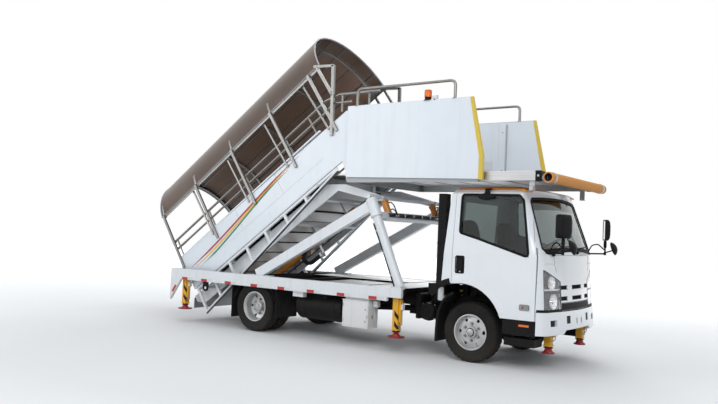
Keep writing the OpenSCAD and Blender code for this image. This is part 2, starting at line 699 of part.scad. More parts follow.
// Platform hinge
plat_hinge = [-plat_rear - 30, 2470];
plat_pin_r = 20;
function slope_line(x) = slope_z + (x - slope_x) * tan(slope);
module upper_sides() color(white) {
    both() side_plate(panel_y - panel_t, panel_y - 10) polygon([slope_point(panel_rear, 0),
        slope_point(panel_rear, panel_h), [panel_front_x - 400, 3310], [panel_front_x - 120, 3500],
        [panel_front_x, 3500], [panel_front_x, slope_line(panel_front_x)]]);
    both() side_plate(panel_y - 10, panel_y) polygon([slope_point(panel_rear, 0), slope_point(panel_rear, band_h),
        [panel_front_x, slope_line(panel_front_x) + band_h / cos(slope)],
        [panel_front_x, slope_line(panel_front_x)]]);
    // Brackets and pins that carry the platform
    h = plat_hinge;
    both() {
        side_plate(panel_y - panel_t, panel_y) polygon([[h[0] - 150, slope_line(h[0] - 150) + 30],
            [h[0] - 150, slope_line(h[0] - 150) - 20], [h[0] - 24, h[1] - 10], [h[0] - 10, h[1] - 24],
            [h[0] + 10, h[1] - 24], [h[0] + 24, h[1] - 10], [h[0] + 24, slope_line(h[0]) - 60],
            [panel_front_x, slope_line(panel_front_x) + 30]]);
        rod([h[0], panel_y - 10, h[1]], [h[0], panel_y + 55, h[1]], plat_pin_r);
    }
}
module upper_steps() color(steel) {
    w = panel_y - panel_t - seat;
    for (k = [1:upper_steps_n])
        step(land_x - k * step_going, floor_z - k * step_rise, w, 4, step_rise);
    step(land_x, floor_z, w, 4, step_rise);
    bar([land_x, -w, floor_z - 30], [panel_front_x - seat, w, floor_z]);
    // Eye of the slide cylinder's rod and the web that carries it
    on_slope() bar([rod_end + seat, -rod_eye, cyl_v - rod_eye],
        [rod_end + rod_eye, rod_eye, cyl_v + rod_eye]);
    e = slope_point(rod_end + rod_eye / 2, cyl_v);
    bar([e[0] - rod_web, -rod_web, e[1] + 15], [e[0] + 5, rod_web, floor_z - 20]);
}
post_u = [-930, 50, 1080, 2110];
module handrails() color(steel) on_slope() both() {
    y = panel_y - 32;
    for (v = [850, 1000]) rod([-930, y, v], [2900, y, v], 21);
    for (u = [-860, 80, 1110, 2140, 2700]) rod([u, y, panel_h], [u, y, 1000], 15);
}
canopy_rise = 800;
bow_r = (pow(canopy_y, 2) + pow(canopy_rise, 2)) / (2 * canopy_rise);
bow_v = canopy_v + canopy_rise - bow_r;
canopy_front = 3280;
canopy_back = -960;
// Half ring from bow_r + r0 to bow_r + r1 above the canopy rails
module bow(r0, r1, l) rotate([90, 0, 90]) linear_extrude(l) difference() {
    translate([0, bow_v]) circle(r = bow_r + r1, $fn = 96);
    translate([0, bow_v]) circle(r = bow_r + r0, $fn = 96);
    translate([-2000, canopy_v - 4000]) square(4000);
}
module canopy_frame() color([0.75, 0.76, 0.77]) on_slope() {
    both() {
        bar([canopy_back, canopy_y - 20, canopy_v - 20], [canopy_front, canopy_y + 17, canopy_v + 20]);
        for (u = concat(post_u, [3060])) {
            bar([u - 22, panel_y - 10 + seat, 450], [u + 22, panel_y + 22, canopy_v]);
            bar([u - 22, canopy_y, canopy_v - 40], [u + 22, panel_y, canopy_v]);
        }
    }
    for (u = concat(post_u, [3060])) translate([u - 20, 0, 0]) bow(-20, 20, 40);
}
module canopy_roof() color([0.45, 0.3, 0.2]) on_slope() translate([canopy_back - 40, 0, 0])
    bow(20 + seat, 20 + seat + roof_t, canopy_front - canopy_back + 80);

// Platform

plat_front = [[-27, plat_top], [127, 2741], [122, 2430]];
ledge_z = 2400;
ext_front = 950;
module platform_floor() color([0.5, 0.5, 0.52]) {
    w = plat_y - 40 - seat;
    bar([-plat_rear, -w, floor_z - 8], [100, w, floor_z]);
    bar([-plat_rear, -w, ledge_z], [-plat_rear + 60, w, floor_z - 8]);
    both() {
        bar([-plat_rear, w - 40, ledge_z], [100, w, floor_z - 8]);
        bar([-plat_rear, w - 80, ledge_z], [100, w - 40, ledge_z + 10]);
        // Hinge ears
        difference() {
            bar([plat_hinge[0] - 32, panel_y + 5, plat_hinge[1] - 32], [-plat_rear + 5, panel_y + 50, floor_z - 8]);
            rod([plat_hinge[0], panel_y, plat_hinge[1]], [plat_hinge[0], panel_y + 60, plat_hinge[1]],
                plat_pin_r + run);
        }
    }
}
module platform_sides() color(white) both() side_plate(plat_y - 40, plat_y)
    polygon([[-plat_rear, plat_bottom], [-plat_rear, plat_top], plat_front[0] + [30, 0],
        plat_front[1] + [50, 0], plat_front[2] + [60, 0]]);
module platform_rails() color(steel) both() {
    y = plat_y - 20;
    rod([-1900, y, plat_top], [-1900, y, hand_z - 21], 21);
    rod([-280, y, plat_top], [-280, y, hand_z - 21], 21);
    rod([-1900, y, hand_z - 21], [-280, y, hand_z - 21], 21);
}
module beacon() color([0.95, 0.3, 0.08]) {
    translate([-690, -plat_y + 20, plat_top]) cylinder(r = 38, h = 50);
    translate([-690, -plat_y + 20, plat_top + 50]) cylinder(r = 55, h = 130);
}
module extension() color([0.72, 0.73, 0.74]) {
    w = plat_y - 40 - seat - 46;
    z = ledge_z + 10 + seat;
    bar([-1900, -w + 50, z + 90], [ext_front, w - 50, floor_z - 8 - door_gap]);
    both() bar([-1900, w - 60, z], [ext_front, w, floor_z - 8 - door_gap]);
}
module bumper_tube() color(orange) {
    rod([1069, -1069, 2447], [1069, 1069, 2447], 68);
    both() bar([ext_front + seat, 900, 2420], [1040, 990, 2475]);
}

shift() {
    chassis();
    front_axle();
    rear_axle();
    engine();
    tanks();
    deck_sides();
    deck_frame();
    leg_frame();
    lift_barrels();
    jack_barrels();
    control_box();
    fenders();
    cab_shell();
    roof_cap();
    cab_glass();
    lamps();
    bumper();
    mirrors();
    cab_trim();
    cab_interior();
    knuckle(1);  // knuckle_l
    knuckle(-1);  // knuckle_r
    front_rim(1);  // rim_fl
    front_tyre(1);  // tyre_fl
    front_rim(-1);  // rim_fr
    front_tyre(-1);  // tyre_fr
    rear_rim(1);  // rim_rl
    rear_tyre(1);  // tyre_rl
    rear_rim(-1);  // rim_rr
    rear_tyre(-1);  // tyre_rr
    door(1);  // door_l
    door(-1);  // door_r
    door_glass(1);  // door_glass_l
    door_glass(-1);  // door_glass_r
    jack_foot(2, 1);  // jack_fl
    jack_foot(2, -1);  // jack_fr
    jack_foot(1, 1);  // jack_ml
    jack_foot(1, -1);  // jack_mr
    jack_foot(0, 1);  // jack_rl
    jack_foot(0, -1);  // jack_rr
    lift_head();
    lower_frame();
    lower_steps();
    slide_barrel();
    upper_sides();
    upper_steps();
    slide_rod();
    handrails();
    canopy_frame();
    canopy_roof();
    platform_floor();
    platform_sides();
    platform_rails();
    beacon();
    extension();
    bumper_tube();
}
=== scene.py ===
"""Looks of the truck-mounted passenger boarding stairs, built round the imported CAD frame."""

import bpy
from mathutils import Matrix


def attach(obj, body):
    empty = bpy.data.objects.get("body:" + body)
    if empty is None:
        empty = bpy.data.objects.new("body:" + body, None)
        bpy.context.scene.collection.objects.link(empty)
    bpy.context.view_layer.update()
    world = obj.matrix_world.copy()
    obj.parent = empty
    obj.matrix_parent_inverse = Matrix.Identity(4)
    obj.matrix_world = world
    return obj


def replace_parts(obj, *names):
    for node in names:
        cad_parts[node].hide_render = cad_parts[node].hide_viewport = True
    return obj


bl_info = {
    "name": "Boarding Stairs Looks",
    "version": (1, 0, 0),
    "blender": (4, 5, 0),
    "location": "View3D > Sidebar > Boarding Stairs",
    "description": "Finishes, fittings and stage for truck-mounted passenger boarding stairs",
    "category": "Object",
}

import math

import bmesh
import bpy
from mathutils import Matrix, Vector

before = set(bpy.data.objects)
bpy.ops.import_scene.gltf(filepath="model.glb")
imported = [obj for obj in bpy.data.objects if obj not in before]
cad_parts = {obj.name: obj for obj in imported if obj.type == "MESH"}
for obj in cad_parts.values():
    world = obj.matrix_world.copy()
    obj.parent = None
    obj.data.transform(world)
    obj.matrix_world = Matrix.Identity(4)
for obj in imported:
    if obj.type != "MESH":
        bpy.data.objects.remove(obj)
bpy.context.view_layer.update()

# Distance from the front axle, where every size below starts, to the frame's origin
AXLE = Vector((2.704, 0.0, 0.0))
SIDES = (-1, 1)
PI = math.pi


# Sizes of the machine, in metres from the front axle

SLOPE = math.atan2(180, 257)
SLOPE_FOOT = (-4.6, 1.075)
LEG_LEAN = math.radians(24.1)
LEG_FOOT = (-1.04, 0.908)
WHEELBASE = 3.815
AXLE_Z = 0.398
CAB_FRONT = 1.070
CAB_CREASE = 1.530
CAB_Y = 0.992
CAB_R = 4.0
CORNER_R = 0.170
NOSE_TILT = math.radians(4.0)
SCREEN_TILT = math.radians(20.5)
ARCH = (-0.130, 0.430, 0.612)
PANEL_Y = 0.950
DECK_Y = 1.141
PLAT_Y = 1.101
FLOOR_Z = 2.550
# Where the bumper's skin stands, in front of the cab's front skin
BUMPER_T = -0.015


def slope_point(u, v, y=0.0):
    """Point of the flights: u along the slope, v across it."""
    c, s = math.cos(SLOPE), math.sin(SLOPE)
    return Vector((SLOPE_FOOT[0] + u * c - v * s, y, SLOPE_FOOT[1] + u * s + v * c))


def leg_point(s, y=0.0, off=0.0):
    """Point of the lifting legs: s along the leg, off in front of its axis."""
    c, n = math.cos(LEG_LEAN), math.sin(LEG_LEAN)
    return Vector((LEG_FOOT[0] - s * n + off * c, y, LEG_FOOT[1] + s * c + off * n))


def plan_x(y, t):
    """Depth of the cab's plan outline at y, t inside the skin, from the front point."""
    yc = CAB_Y - CORNER_R
    rr = CAB_R - CORNER_R
    y = abs(y)
    if y <= CAB_R * yc / rr:
        return math.sqrt((CAB_R - t) ** 2 - y * y) - CAB_R
    corner = math.sqrt(rr * rr - yc * yc) - CAB_R
    return corner + math.sqrt(max((CORNER_R - t) ** 2 - (y - yc) ** 2, 0.0))


def front_point(y, z, t=0.0, tilt=NOSE_TILT):
    """Point of the cab's front skin at y and z, t inside it."""
    x = plan_x(y, t)
    h = (z - CAB_CREASE - x * math.sin(tilt)) / math.cos(tilt)
    return Vector((CAB_FRONT + x * math.cos(tilt) - h * math.sin(tilt), y, z))


def screen_point(y, h, t=0.0):
    """Point of the windscreen: y across, h up its rake."""
    x = plan_x(y, t)
    c, s = math.cos(SCREEN_TILT), math.sin(SCREEN_TILT)
    return Vector((CAB_FRONT + x * c - h * s, y, CAB_CREASE + x * s + h * c))


def side_y(z):
    """Half width of the cab's side at height z."""
    return CAB_Y - max(z - 1.45, 0.0) / 0.798 * 0.075


# Mesh building

class Build:
    """Collects the solids of one piece."""

    def __init__(self):
        self.verts = []
        self.faces = []
        self.mats = []

    def add(self, verts, faces, mat=0):
        base = len(self.verts)
        self.verts += [Vector(v) for v in verts]
        self.faces += [[base + i for i in f] for f in faces]
        self.mats += [mat] * len(faces)

    def block(self, lo, hi, c=0.002, mat=0, at=None):
        """Box with chamfered edges, placed by the matrix at."""
        lo, hi = Vector(map(min, lo, hi)), Vector(map(max, lo, hi))
        c = min(c, min(hi - lo) * 0.45)
        corners = [(i & 1, i >> 1 & 1, i >> 2 & 1) for i in range(8)]
        verts = []
        for k in corners:
            for a in range(3):
                p = [hi[i] - (0 if i == a else c) if k[i] else lo[i] + (0 if i == a else c) for i in range(3)]
                verts.append(Vector(p))
        faces = [[3 * i, 3 * i + 1, 3 * i + 2] for i in range(8)]
        for a in range(3):
            b, d = (a + 1) % 3, (a + 2) % 3
            for s in (0, 1):
                ring = [(s, p, q) for p, q in ((0, 0), (1, 0), (1, 1), (0, 1))]
                idx = []
                for w in ring:
                    k = [0, 0, 0]
                    k[a], k[b], k[d] = w
                    idx.append(3 * (k[0] + 2 * k[1] + 4 * k[2]) + a)
                faces.append(idx)
                for r in (0, 1):
                    k0, k1 = [0, 0, 0], [0, 0, 0]
                    k0[b], k0[d], k1[b], k1[d] = s, r, s, r
                    k1[a] = 1
                    i0 = 3 * (k0[0] + 2 * k0[1] + 4 * k0[2])
                    i1 = 3 * (k1[0] + 2 * k1[1] + 4 * k1[2])
                    faces.append([i0 + b, i1 + b, i1 + d, i0 + d])
        self.add([at @ v for v in verts] if at else verts, faces, mat)

    def slab(self, outline, offset, mat=0):
        """Flat outline of 3-D points carried along offset."""
        pts = [Vector(p) for p in outline]
        n = len(pts)
        off = Vector(offset)
        faces = [list(range(n)), list(range(2 * n - 1, n - 1, -1))]
        faces += [[i, (i + 1) % n, n + (i + 1) % n, n + i] for i in range(n)]
        self.add(pts + [p + off for p in pts], faces, mat)

    def prism(self, outline, y0, y1, mat=0):
        """Outline in x and z carried from y0 to y1."""
        self.slab([(x, y0, z) for x, z in outline], (0, y1 - y0, 0), mat)

    def tube(self, path, r, n=10, mat=0, closed=False, up=None, flat=None):
        """Round bar along a path, or an oval one that is flat high along up."""
        pts = [Vector(p) for p in path]
        m = len(pts)
        verts = []
        prev = None
        for i, p in enumerate(pts):
            a = pts[(i - 1) % m] if closed or i else pts[i]
            b = pts[(i + 1) % m] if closed or i < m - 1 else pts[i]
            t = (b - a).normalized()
            if up is not None:
                side = t.cross(Vector(up)).normalized()
            elif prev is None:
                side = t.cross(Vector((0.3, 0.2, 1))).normalized()
            else:
                side = (prev - t * prev.dot(t)).normalized()
            prev = side
            top = side.cross(t).normalized()
            high = flat if flat is not None else r
            for k in range(n):
                w = 2 * PI * (k + 0.5) / n
                verts.append(p + side * r * math.cos(w) + top * high * math.sin(w))
        faces = []
        for i in range(m if closed else m - 1):
            j = (i + 1) % m
            faces += [[i * n + k, i * n + (k + 1) % n, j * n + (k + 1) % n, j * n + k] for k in range(n)]
        if not closed:
            faces += [list(range(n)), list(range((m - 1) * n, m * n))[::-1]]
        self.add(verts, faces, mat)

    def turn(self, profile, at, n=32, mat=0, closed=False, radius=None):
        """Profile of (radius, height) turned round the z axis of the matrix at."""
        verts, rings = [], []
        for k, (r, h) in enumerate(profile):
            if r < 1e-6:
                rings.append([len(verts)] * n)
                verts.append(at @ Vector((0, 0, h)))
                continue
            ring = []
            for i in range(n):
                w = 2 * PI * i / n
                q = radius(k, i, r) if radius else r
                ring.append(len(verts))
                verts.append(at @ Vector((q * math.cos(w), q * math.sin(w), h)))
            rings.append(ring)
        faces = []
        pairs = list(zip(rings, rings[1:])) + ([(rings[-1], rings[0])] if closed else [])
        for a, b in pairs:
            for i in range(n):
                j = (i + 1) % n
                f = []
                for v in (a[i], a[j], b[j], b[i]):
                    if v not in f:
                        f.append(v)
                if len(f) > 2:
                    faces.append(f)
        if not closed:
            for ring in (rings[0], rings[-1]):
                if len(set(ring)) > 2:
                    faces.append(list(ring))
        self.add(verts, faces, mat)

    def loft(self, rings, mat=0):
        """Closed rings of points joined in order and capped at both ends."""
        k, n = len(rings[0]), len(rings)
        faces = []
        for i in range(n - 1):
            for j in range(k):
                q = (j + 1) % k
                faces.append((i * k + j, i * k + q, (i + 1) * k + q, (i + 1) * k + j))
        faces += [list(range(k)), list(range((n - 1) * k, n * k))]
        self.add([p for ring in rings for p in ring], faces, mat)

    def bolt(self, at, axis, r=0.009, h=0.008, mat=0):
        """Hexagon head on a washer, standing at a point along axis."""
        m = track(at, axis)
        self.turn([(0, -0.002), (r * 1.5, -0.002), (r * 1.5, 0.002), (r * 1.4, 0.0025), (0, 0.0025)],
                  m, 14, mat)
        self.turn([(0, 0.0), (r, 0.0), (r, h * 0.8), (r * 0.85, h), (0, h)], m, 6, mat)


def track(at, axis):
    """Matrix at a point with its z axis along axis."""
    return Matrix.Translation(at) @ Vector(axis).to_track_quat("Z", "Y").to_matrix().to_4x4()


def rounded(path, r, n=5, closed=False):
    """The path with its corners turned at radius r."""
    pts = [Vector(p) for p in path]
    m = len(pts)
    out = []
    for i, p in enumerate(pts):
        if not closed and i in (0, m - 1):
            out.append(p)
            continue
        a, b = pts[(i - 1) % m] - p, pts[(i + 1) % m] - p
        half = a.angle(b) / 2
        reach = min(r / math.tan(half), a.length * 0.48, b.length * 0.48)
        p0, p1 = p + a.normalized() * reach, p + b.normalized() * reach
        for k in range(n + 1):
            t = k / n
            out.append(p0 * (1 - t) ** 2 + p * 2 * t * (1 - t) + p1 * t * t)
    return out


def resample(path, step, closed=False):
    """Points along a path no further apart than step."""
    pts = [Vector(p) for p in path]
    out = []
    ends = pts[1:] + (pts[:1] if closed else [])
    for a, b in zip(pts, ends):
        n = max(1, math.ceil((b - a).length / step))
        out += [a.lerp(b, k / n) for k in range(n)]
    if not closed:
        out.append(pts[-1])
    return out


def piece(name, build, body, slot, *materials, sharp=32.0):
    """Makes the object of one piece, in the frame, riding on its body."""
    data = bpy.data.meshes.new(name)
    data.from_pydata([v + AXLE for v in build.verts], [], build.faces)
    for poly, mat in zip(data.polygons, build.mats):
        poly.material_index = mat
    bm = bmesh.new()
    bm.from_mesh(data)
    bmesh.ops.recalc_face_normals(bm, faces=bm.faces)
    bm.to_mesh(data)
    bm.free()
    for mat in materials:
        data.materials.append(finish(mat))
    data.shade_smooth()
    data.set_sharp_from_angle(angle=math.radians(sharp))
    obj = bpy.data.objects.new(name, data)
    bpy.context.scene.collection.objects.link(obj)
    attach(obj, body)
    return obj


# Shader node groups

class Nodes:
    """Short calls for making nodes in one tree."""

    def __init__(self, tree):
        self.tree = tree

    def make(self, kind, inputs=None, **props):
        node = self.tree.nodes.new(kind)
        for key, value in props.items():
            setattr(node, key, value)
        for key, value in (inputs or {}).items():
            self.put(value, node.inputs[key])
        return node

    def put(self, value, socket):
        if isinstance(value, bpy.types.NodeSocket):
            self.tree.links.new(value, socket)
        else:
            socket.default_value = value

    def math(self, op, a, b=0.0, clamp=False):
        return self.make("ShaderNodeMath", {0: a, 1: b}, operation=op, use_clamp=clamp).outputs[0]

    def ramp(self, value, stops):
        node = self.make("ShaderNodeValToRGB", {0: value})
        while len(node.color_ramp.elements) < len(stops):
            node.color_ramp.elements.new(0.5)
        for el, (pos, grey) in zip(node.color_ramp.elements, stops):
            el.position = pos
            el.color = (grey, grey, grey, 1)
        return node.outputs[0]

    def mix(self, factor, a, b, blend="MIX"):
        node = self.make("ShaderNodeMix", data_type="RGBA", blend_type=blend)
        self.put(factor, node.inputs[0])
        self.put(a, node.inputs[6])
        self.put(b, node.inputs[7])
        return node.outputs[2]

    def noise(self, coords, scale, detail=4.0, rough=0.55):
        node = self.make("ShaderNodeTexNoise", {"Scale": scale, "Detail": detail, "Roughness": rough})
        self.put(coords, node.inputs["Vector"])
        return node.outputs[0]


GROUPS = {}


def group(name, inputs, outputs, body):
    """Makes one shader node group; body gets its nodes, inputs and returns its outputs."""
    tree = bpy.data.node_groups.new(name, "ShaderNodeTree")
    for label, kind, value in inputs:
        socket = tree.interface.new_socket(label, in_out="INPUT", socket_type=kind)
        socket.default_value = value
    for label, kind in outputs:
        tree.interface.new_socket(label, in_out="OUTPUT", socket_type=kind)
    nodes = Nodes(tree)
    start = tree.nodes.new("NodeGroupInput")
    end = tree.nodes.new("NodeGroupOutput")
    made = body(nodes, start.outputs)
    for label, value in made.items():
        tree.links.new(value, end.inputs[label])
    GROUPS[name] = tree
    return tree


FLOAT, COLOR = "NodeSocketFloat", "NodeSocketColor"


def dust_and_sheen_film_nodes(n, inp):
    """Road dust, thicker low down and in soft patches; on the roof sheet the same film paints the sky's
    reflection.
    """
    place = n.make("ShaderNodeTexCoord").outputs["Object"]
    height = n.make("ShaderNodeSeparateXYZ", {0: place}).outputs[2]
    low = n.math("SUBTRACT", 1.0, n.math("DIVIDE", height, inp["Reach"]), clamp=True)
    low = n.math("POWER", low, 1.6)
    cloud = n.noise(place, inp["Scale"], 6.0, 0.6)
    patch = n.math("MULTIPLY", n.ramp(cloud, ((0.35, 0.0), (0.75, 1.0))), 0.55)
    mask = n.math("MULTIPLY", n.math("ADD", low, patch), inp["Amount"], clamp=True)
    colour = n.mix(mask, inp["Color"], inp["Dust Color"])
    rough = n.math("ADD", inp["Roughness"], n.math("MULTIPLY", mask, 0.35), clamp=True)
    return {"Color": colour, "Roughness": rough, "Mask": mask}


def fine_grain_nodes(n, inp):
    """Small tooth of a sprayed, cast or moulded surface, as a height."""
    place = n.make("ShaderNodeTexCoord").outputs["Object"]
    fine = n.noise(place, inp["Scale"], 3.0, 0.6)
    wide = n.noise(place, inp["Wave Scale"], 1.0, 0.4)
    height = n.math("ADD", n.math("MULTIPLY", fine, inp["Fine"]), n.math("MULTIPLY", wide, inp["Wave"]))
    return {"Height": height}


def streak_nodes(n, inp):
    """Faint runs of dirt down upright faces."""
    place = n.make("ShaderNodeTexCoord").outputs["Object"]
    squash = n.make("ShaderNodeMapping", {"Vector": place, "Scale": (14.0, 14.0, 0.7)}).outputs[0]
    run = n.ramp(n.noise(squash, 1.0, 5.0, 0.6), ((0.5, 0.0), (0.78, 1.0)))
    normal = n.make("ShaderNodeNewGeometry").outputs["Normal"]
    upright = n.make("ShaderNodeSeparateXYZ", {0: normal}).outputs[2]
    side = n.math("SUBTRACT", 1.0, n.math("ABSOLUTE", upright), clamp=True)
    mask = n.math("MULTIPLY", n.math("MULTIPLY", run, side), inp["Amount"], clamp=True)
    return {"Color": n.mix(mask, inp["Color"], inp["Streak Color"]), "Mask": mask}


def brushed_nodes(n, inp):
    """Drawn or brushed metal: long fine lines along one axis."""
    place = n.make("ShaderNodeTexCoord").outputs["Object"]
    stretch = n.make("ShaderNodeMapping", {"Vector": place, "Scale": (3.0, 90.0, 90.0)}).outputs[0]
    line = n.noise(stretch, inp["Scale"], 4.0, 0.7)
    blotch = n.noise(place, 5.0, 4.0, 0.6)
    rough = n.math("ADD", inp["Roughness"], n.math("MULTIPLY", n.math("SUBTRACT", blotch, 0.5), 0.25),
                   clamp=True)
    shade = n.ramp(line, ((0.3, 0.82), (0.7, 1.0)))
    return {"Color": n.mix(1.0, inp["Color"], shade, "MULTIPLY"), "Roughness": rough, "Height": line}


def make_groups():
    """Builds the effects that several finishes share."""
    grey = (0.8, 0.8, 0.8, 1)
    group("Dust Film", [("Color", COLOR, grey), ("Dust Color", COLOR, (0.28, 0.23, 0.18, 1)),
                        ("Roughness", FLOAT, 0.4), ("Amount", FLOAT, 0.2), ("Reach", FLOAT, 1.2),
                        ("Scale", FLOAT, 3.0)],
          [("Color", COLOR), ("Roughness", FLOAT), ("Mask", FLOAT)], dust_and_sheen_film_nodes)
    group("Fine Grain", [("Scale", FLOAT, 400.0), ("Fine", FLOAT, 0.5), ("Wave Scale", FLOAT, 6.0),
                         ("Wave", FLOAT, 0.5)], [("Height", FLOAT)], fine_grain_nodes)
    group("Rain Streaks", [("Color", COLOR, grey), ("Streak Color", COLOR, (0.3, 0.28, 0.25, 1)),
                           ("Amount", FLOAT, 0.2)], [("Color", COLOR), ("Mask", FLOAT)], streak_nodes)
    group("Brushed Metal", [("Color", COLOR, grey), ("Roughness", FLOAT, 0.35), ("Scale", FLOAT, 1.0)],
          [("Color", COLOR), ("Roughness", FLOAT), ("Height", FLOAT)], brushed_nodes)


# Finishes

FINISHES = {}


def finish(name):
    """The material of that name, made when it is first asked for."""
    if name not in FINISHES:
        make, *values = RECIPES[name]
        if values and isinstance(values[0], str):
            values[0] = tuple(getattr(bpy.context.scene.boarding_stairs, values[0]))
        FINISHES[name] = make(name, *values)
    return FINISHES[name]


def blank(name):
    mat = bpy.data.materials.new(name)
    mat.use_nodes = True
    mat.node_tree.nodes.clear()
    nodes = Nodes(mat.node_tree)
    shader = nodes.make("ShaderNodeBsdfPrincipled")
    out = nodes.make("ShaderNodeOutputMaterial")
    mat.node_tree.links.new(shader.outputs[0], out.inputs[0])
    return mat, nodes, shader


def place_group(nodes, name, **inputs):
    node = nodes.make("ShaderNodeGroup", node_tree=GROUPS[name])
    for key, value in inputs.items():
        nodes.put(value, node.inputs[key.replace("_", " ")])
    return node.outputs


def bump(nodes, shader, height, strength, distance):
    node = nodes.make("ShaderNodeBump", {"Strength": strength, "Distance": distance, "Height": height})
    nodes.put(node.outputs[0], shader.inputs["Normal"])


def rgba(colour):
    return (*colour, 1.0)


def shine(colour):
    """Specular level: low for black, middling for a strong colour, full for a pale one."""
    return 0.12 if max(colour) < 0.06 else 0.3 if min(colour) < 0.06 else 0.5


def paint(name, colour, rough=0.35, coat=0.4, dust=0.12, reach=1.3, streaks=0.12, wave=0.5, metallic=0.0):
    """Sprayed paint with dust, faint runs and a slight orange peel."""
    mat, n, s = blank(name)
    s.inputs["Coat Weight"].default_value = coat
    s.inputs["Coat Roughness"].default_value = 0.12
    s.inputs["Metallic"].default_value = metallic
    s.inputs["Specular IOR Level"].default_value = shine(colour)
    run = place_group(n, "Rain Streaks", Color=rgba(colour), Amount=streaks)
    film = place_group(n, "Dust Film", Color=run["Color"], Roughness=rough, Amount=dust, Reach=reach)
    n.put(film["Color"], s.inputs["Base Color"])
    n.put(film["Roughness"], s.inputs["Roughness"])
    grain = place_group(n, "Fine Grain", Scale=260.0, Fine=0.12, Wave_Scale=3.5, Wave=wave)
    bump(n, s, grain["Height"], 0.25, 0.004)
    return mat


def metal(name, colour, rough=0.35, dust=0.08, scale=1.0, metallic=1.0):
    """Brushed or drawn metal."""
    mat, n, s = blank(name)
    s.inputs["Metallic"].default_value = metallic
    brushed = place_group(n, "Brushed Metal", Color=rgba(colour), Roughness=rough, Scale=scale)
    film = place_group(n, "Dust Film", Color=brushed["Color"], Roughness=brushed["Roughness"], Amount=dust,
                       Reach=1.0, Scale=6.0)
    n.put(film["Color"], s.inputs["Base Color"])
    n.put(film["Roughness"], s.inputs["Roughness"])
    bump(n, s, brushed["Height"], 0.12, 0.0008)
    return mat


def plastic(name, colour, rough=0.5, grain=0.4, dust=0.15, scale=500.0, reach=1.3):
    """Moulded plastic or rubber with a fine grain; a dark one shines less."""
    mat, n, s = blank(name)
    s.inputs["Specular IOR Level"].default_value = shine(colour)
    film = place_group(n, "Dust Film", Color=rgba(colour), Roughness=rough, Amount=dust, Reach=reach,
                       Scale=4.0)
    n.put(film["Color"], s.inputs["Base Color"])
    n.put(film["Roughness"], s.inputs["Roughness"])
    tooth = place_group(n, "Fine Grain", Scale=scale, Fine=1.0, Wave_Scale=8.0, Wave=0.3)
    bump(n, s, tooth["Height"], grain, 0.0015)
    return mat


def clear(name, colour, rough=0.02, transmission=1.0, ior=1.45, tint=0.15):
    """Glass or clear plastic with a faint uneven tint."""
    mat, n, s = blank(name)
    s.inputs["Transmission Weight"].default_value = transmission
    s.inputs["Roughness"].default_value = rough
    s.inputs["IOR"].default_value = ior
    place = n.make("ShaderNodeTexCoord").outputs["Object"]
    cloud = n.noise(place, 2.5, 3.0)
    deep = tuple(c * (1 - tint) for c in colour)
    n.put(n.mix(cloud, rgba(colour), rgba(deep)), s.inputs["Base Color"])
    return mat


def sheet_roof(name):
    """Smoked translucent roof sheet: brown seen through, with grey patches that are painted reflection of the
    sky and some dust.
    """
    mat, n, s = blank(name)
    s.inputs["Transmission Weight"].default_value = 0.45
    s.inputs["IOR"].default_value = 1.45
    place = n.make("ShaderNodeTexCoord").outputs["Object"]
    cloud = n.noise(place, 2.2, 5.0, 0.6)
    base = n.mix(cloud, (0.10, 0.055, 0.035, 1), (0.17, 0.10, 0.065, 1))
    # Grey film in patches: painted reflection of the sky, with some dust
    film = place_group(n, "Dust Film", Color=base, Dust_Color=(0.36, 0.33, 0.31, 1), Roughness=0.28,
                       Amount=0.25, Reach=1.0, Scale=1.5)
    n.put(film["Color"], s.inputs["Base Color"])
    n.put(film["Roughness"], s.inputs["Roughness"])
    grain = place_group(n, "Fine Grain", Scale=90.0, Fine=0.1, Wave_Scale=4.0, Wave=0.8)
    bump(n, s, grain["Height"], 0.3, 0.004)
    return mat


def fabric(name, colour):
    """Woven seat cover."""
    mat, n, s = blank(name)
    s.inputs["Sheen Weight"].default_value = 0.3
    s.inputs["Roughness"].default_value = 0.9
    place = n.make("ShaderNodeTexCoord").outputs["Object"]
    warp = n.make("ShaderNodeTexWave", {"Vector": place, "Scale": 90.0, "Distortion": 0.4},
                  bands_direction="Y")
    weft = n.make("ShaderNodeTexWave", {"Vector": place, "Scale": 90.0, "Distortion": 0.4},
                  bands_direction="X")
    weave = n.math("MULTIPLY", warp.outputs[1], weft.outputs[1])
    cloud = n.noise(place, 6.0)
    dark = tuple(c * 0.6 for c in colour)
    n.put(n.mix(n.math("MULTIPLY", weave, cloud), rgba(dark), rgba(colour)), s.inputs["Base Color"])
    bump(n, s, weave, 0.4, 0.001)
    return mat


def seen_directly(n):
    """1 where the camera sees a surface itself, in gloss or through glass."""
    path = n.make("ShaderNodeLightPath").outputs
    return n.math("MAXIMUM", n.math("MAXIMUM", path["Is Camera Ray"], path["Is Transmission Ray"]),
                  path["Is Glossy Ray"])


# Distance over which the floor turns to the backdrop's white
FLOOR_FADE = 24.0


def floor_surface(name):
    """Plain pale floor that keeps the shadow and turns to the backdrop's white far away."""
    mat, n, s = blank(name)
    s.inputs["Roughness"].default_value = 0.8
    s.inputs["Emission Strength"].default_value = 1.0
    place = n.make("ShaderNodeTexCoord").outputs["Object"]
    cloud = n.noise(place, 0.4, 4.0)
    away = n.make("ShaderNodeVectorMath", {0: place}, operation="LENGTH").outputs["Value"]
    away = n.ramp(n.math("DIVIDE", away, FLOOR_FADE), ((0.22, 0.0), (1.0, 1.0)))
    n.put(n.mix(cloud, (0.74, 0.74, 0.74, 1), (0.78, 0.78, 0.78, 1)), s.inputs["Base Color"])
    n.put(n.mix(n.math("MULTIPLY", away, seen_directly(n)), (0, 0, 0, 1), (1, 1, 1, 1)),
          s.inputs["Emission Color"])
    return mat


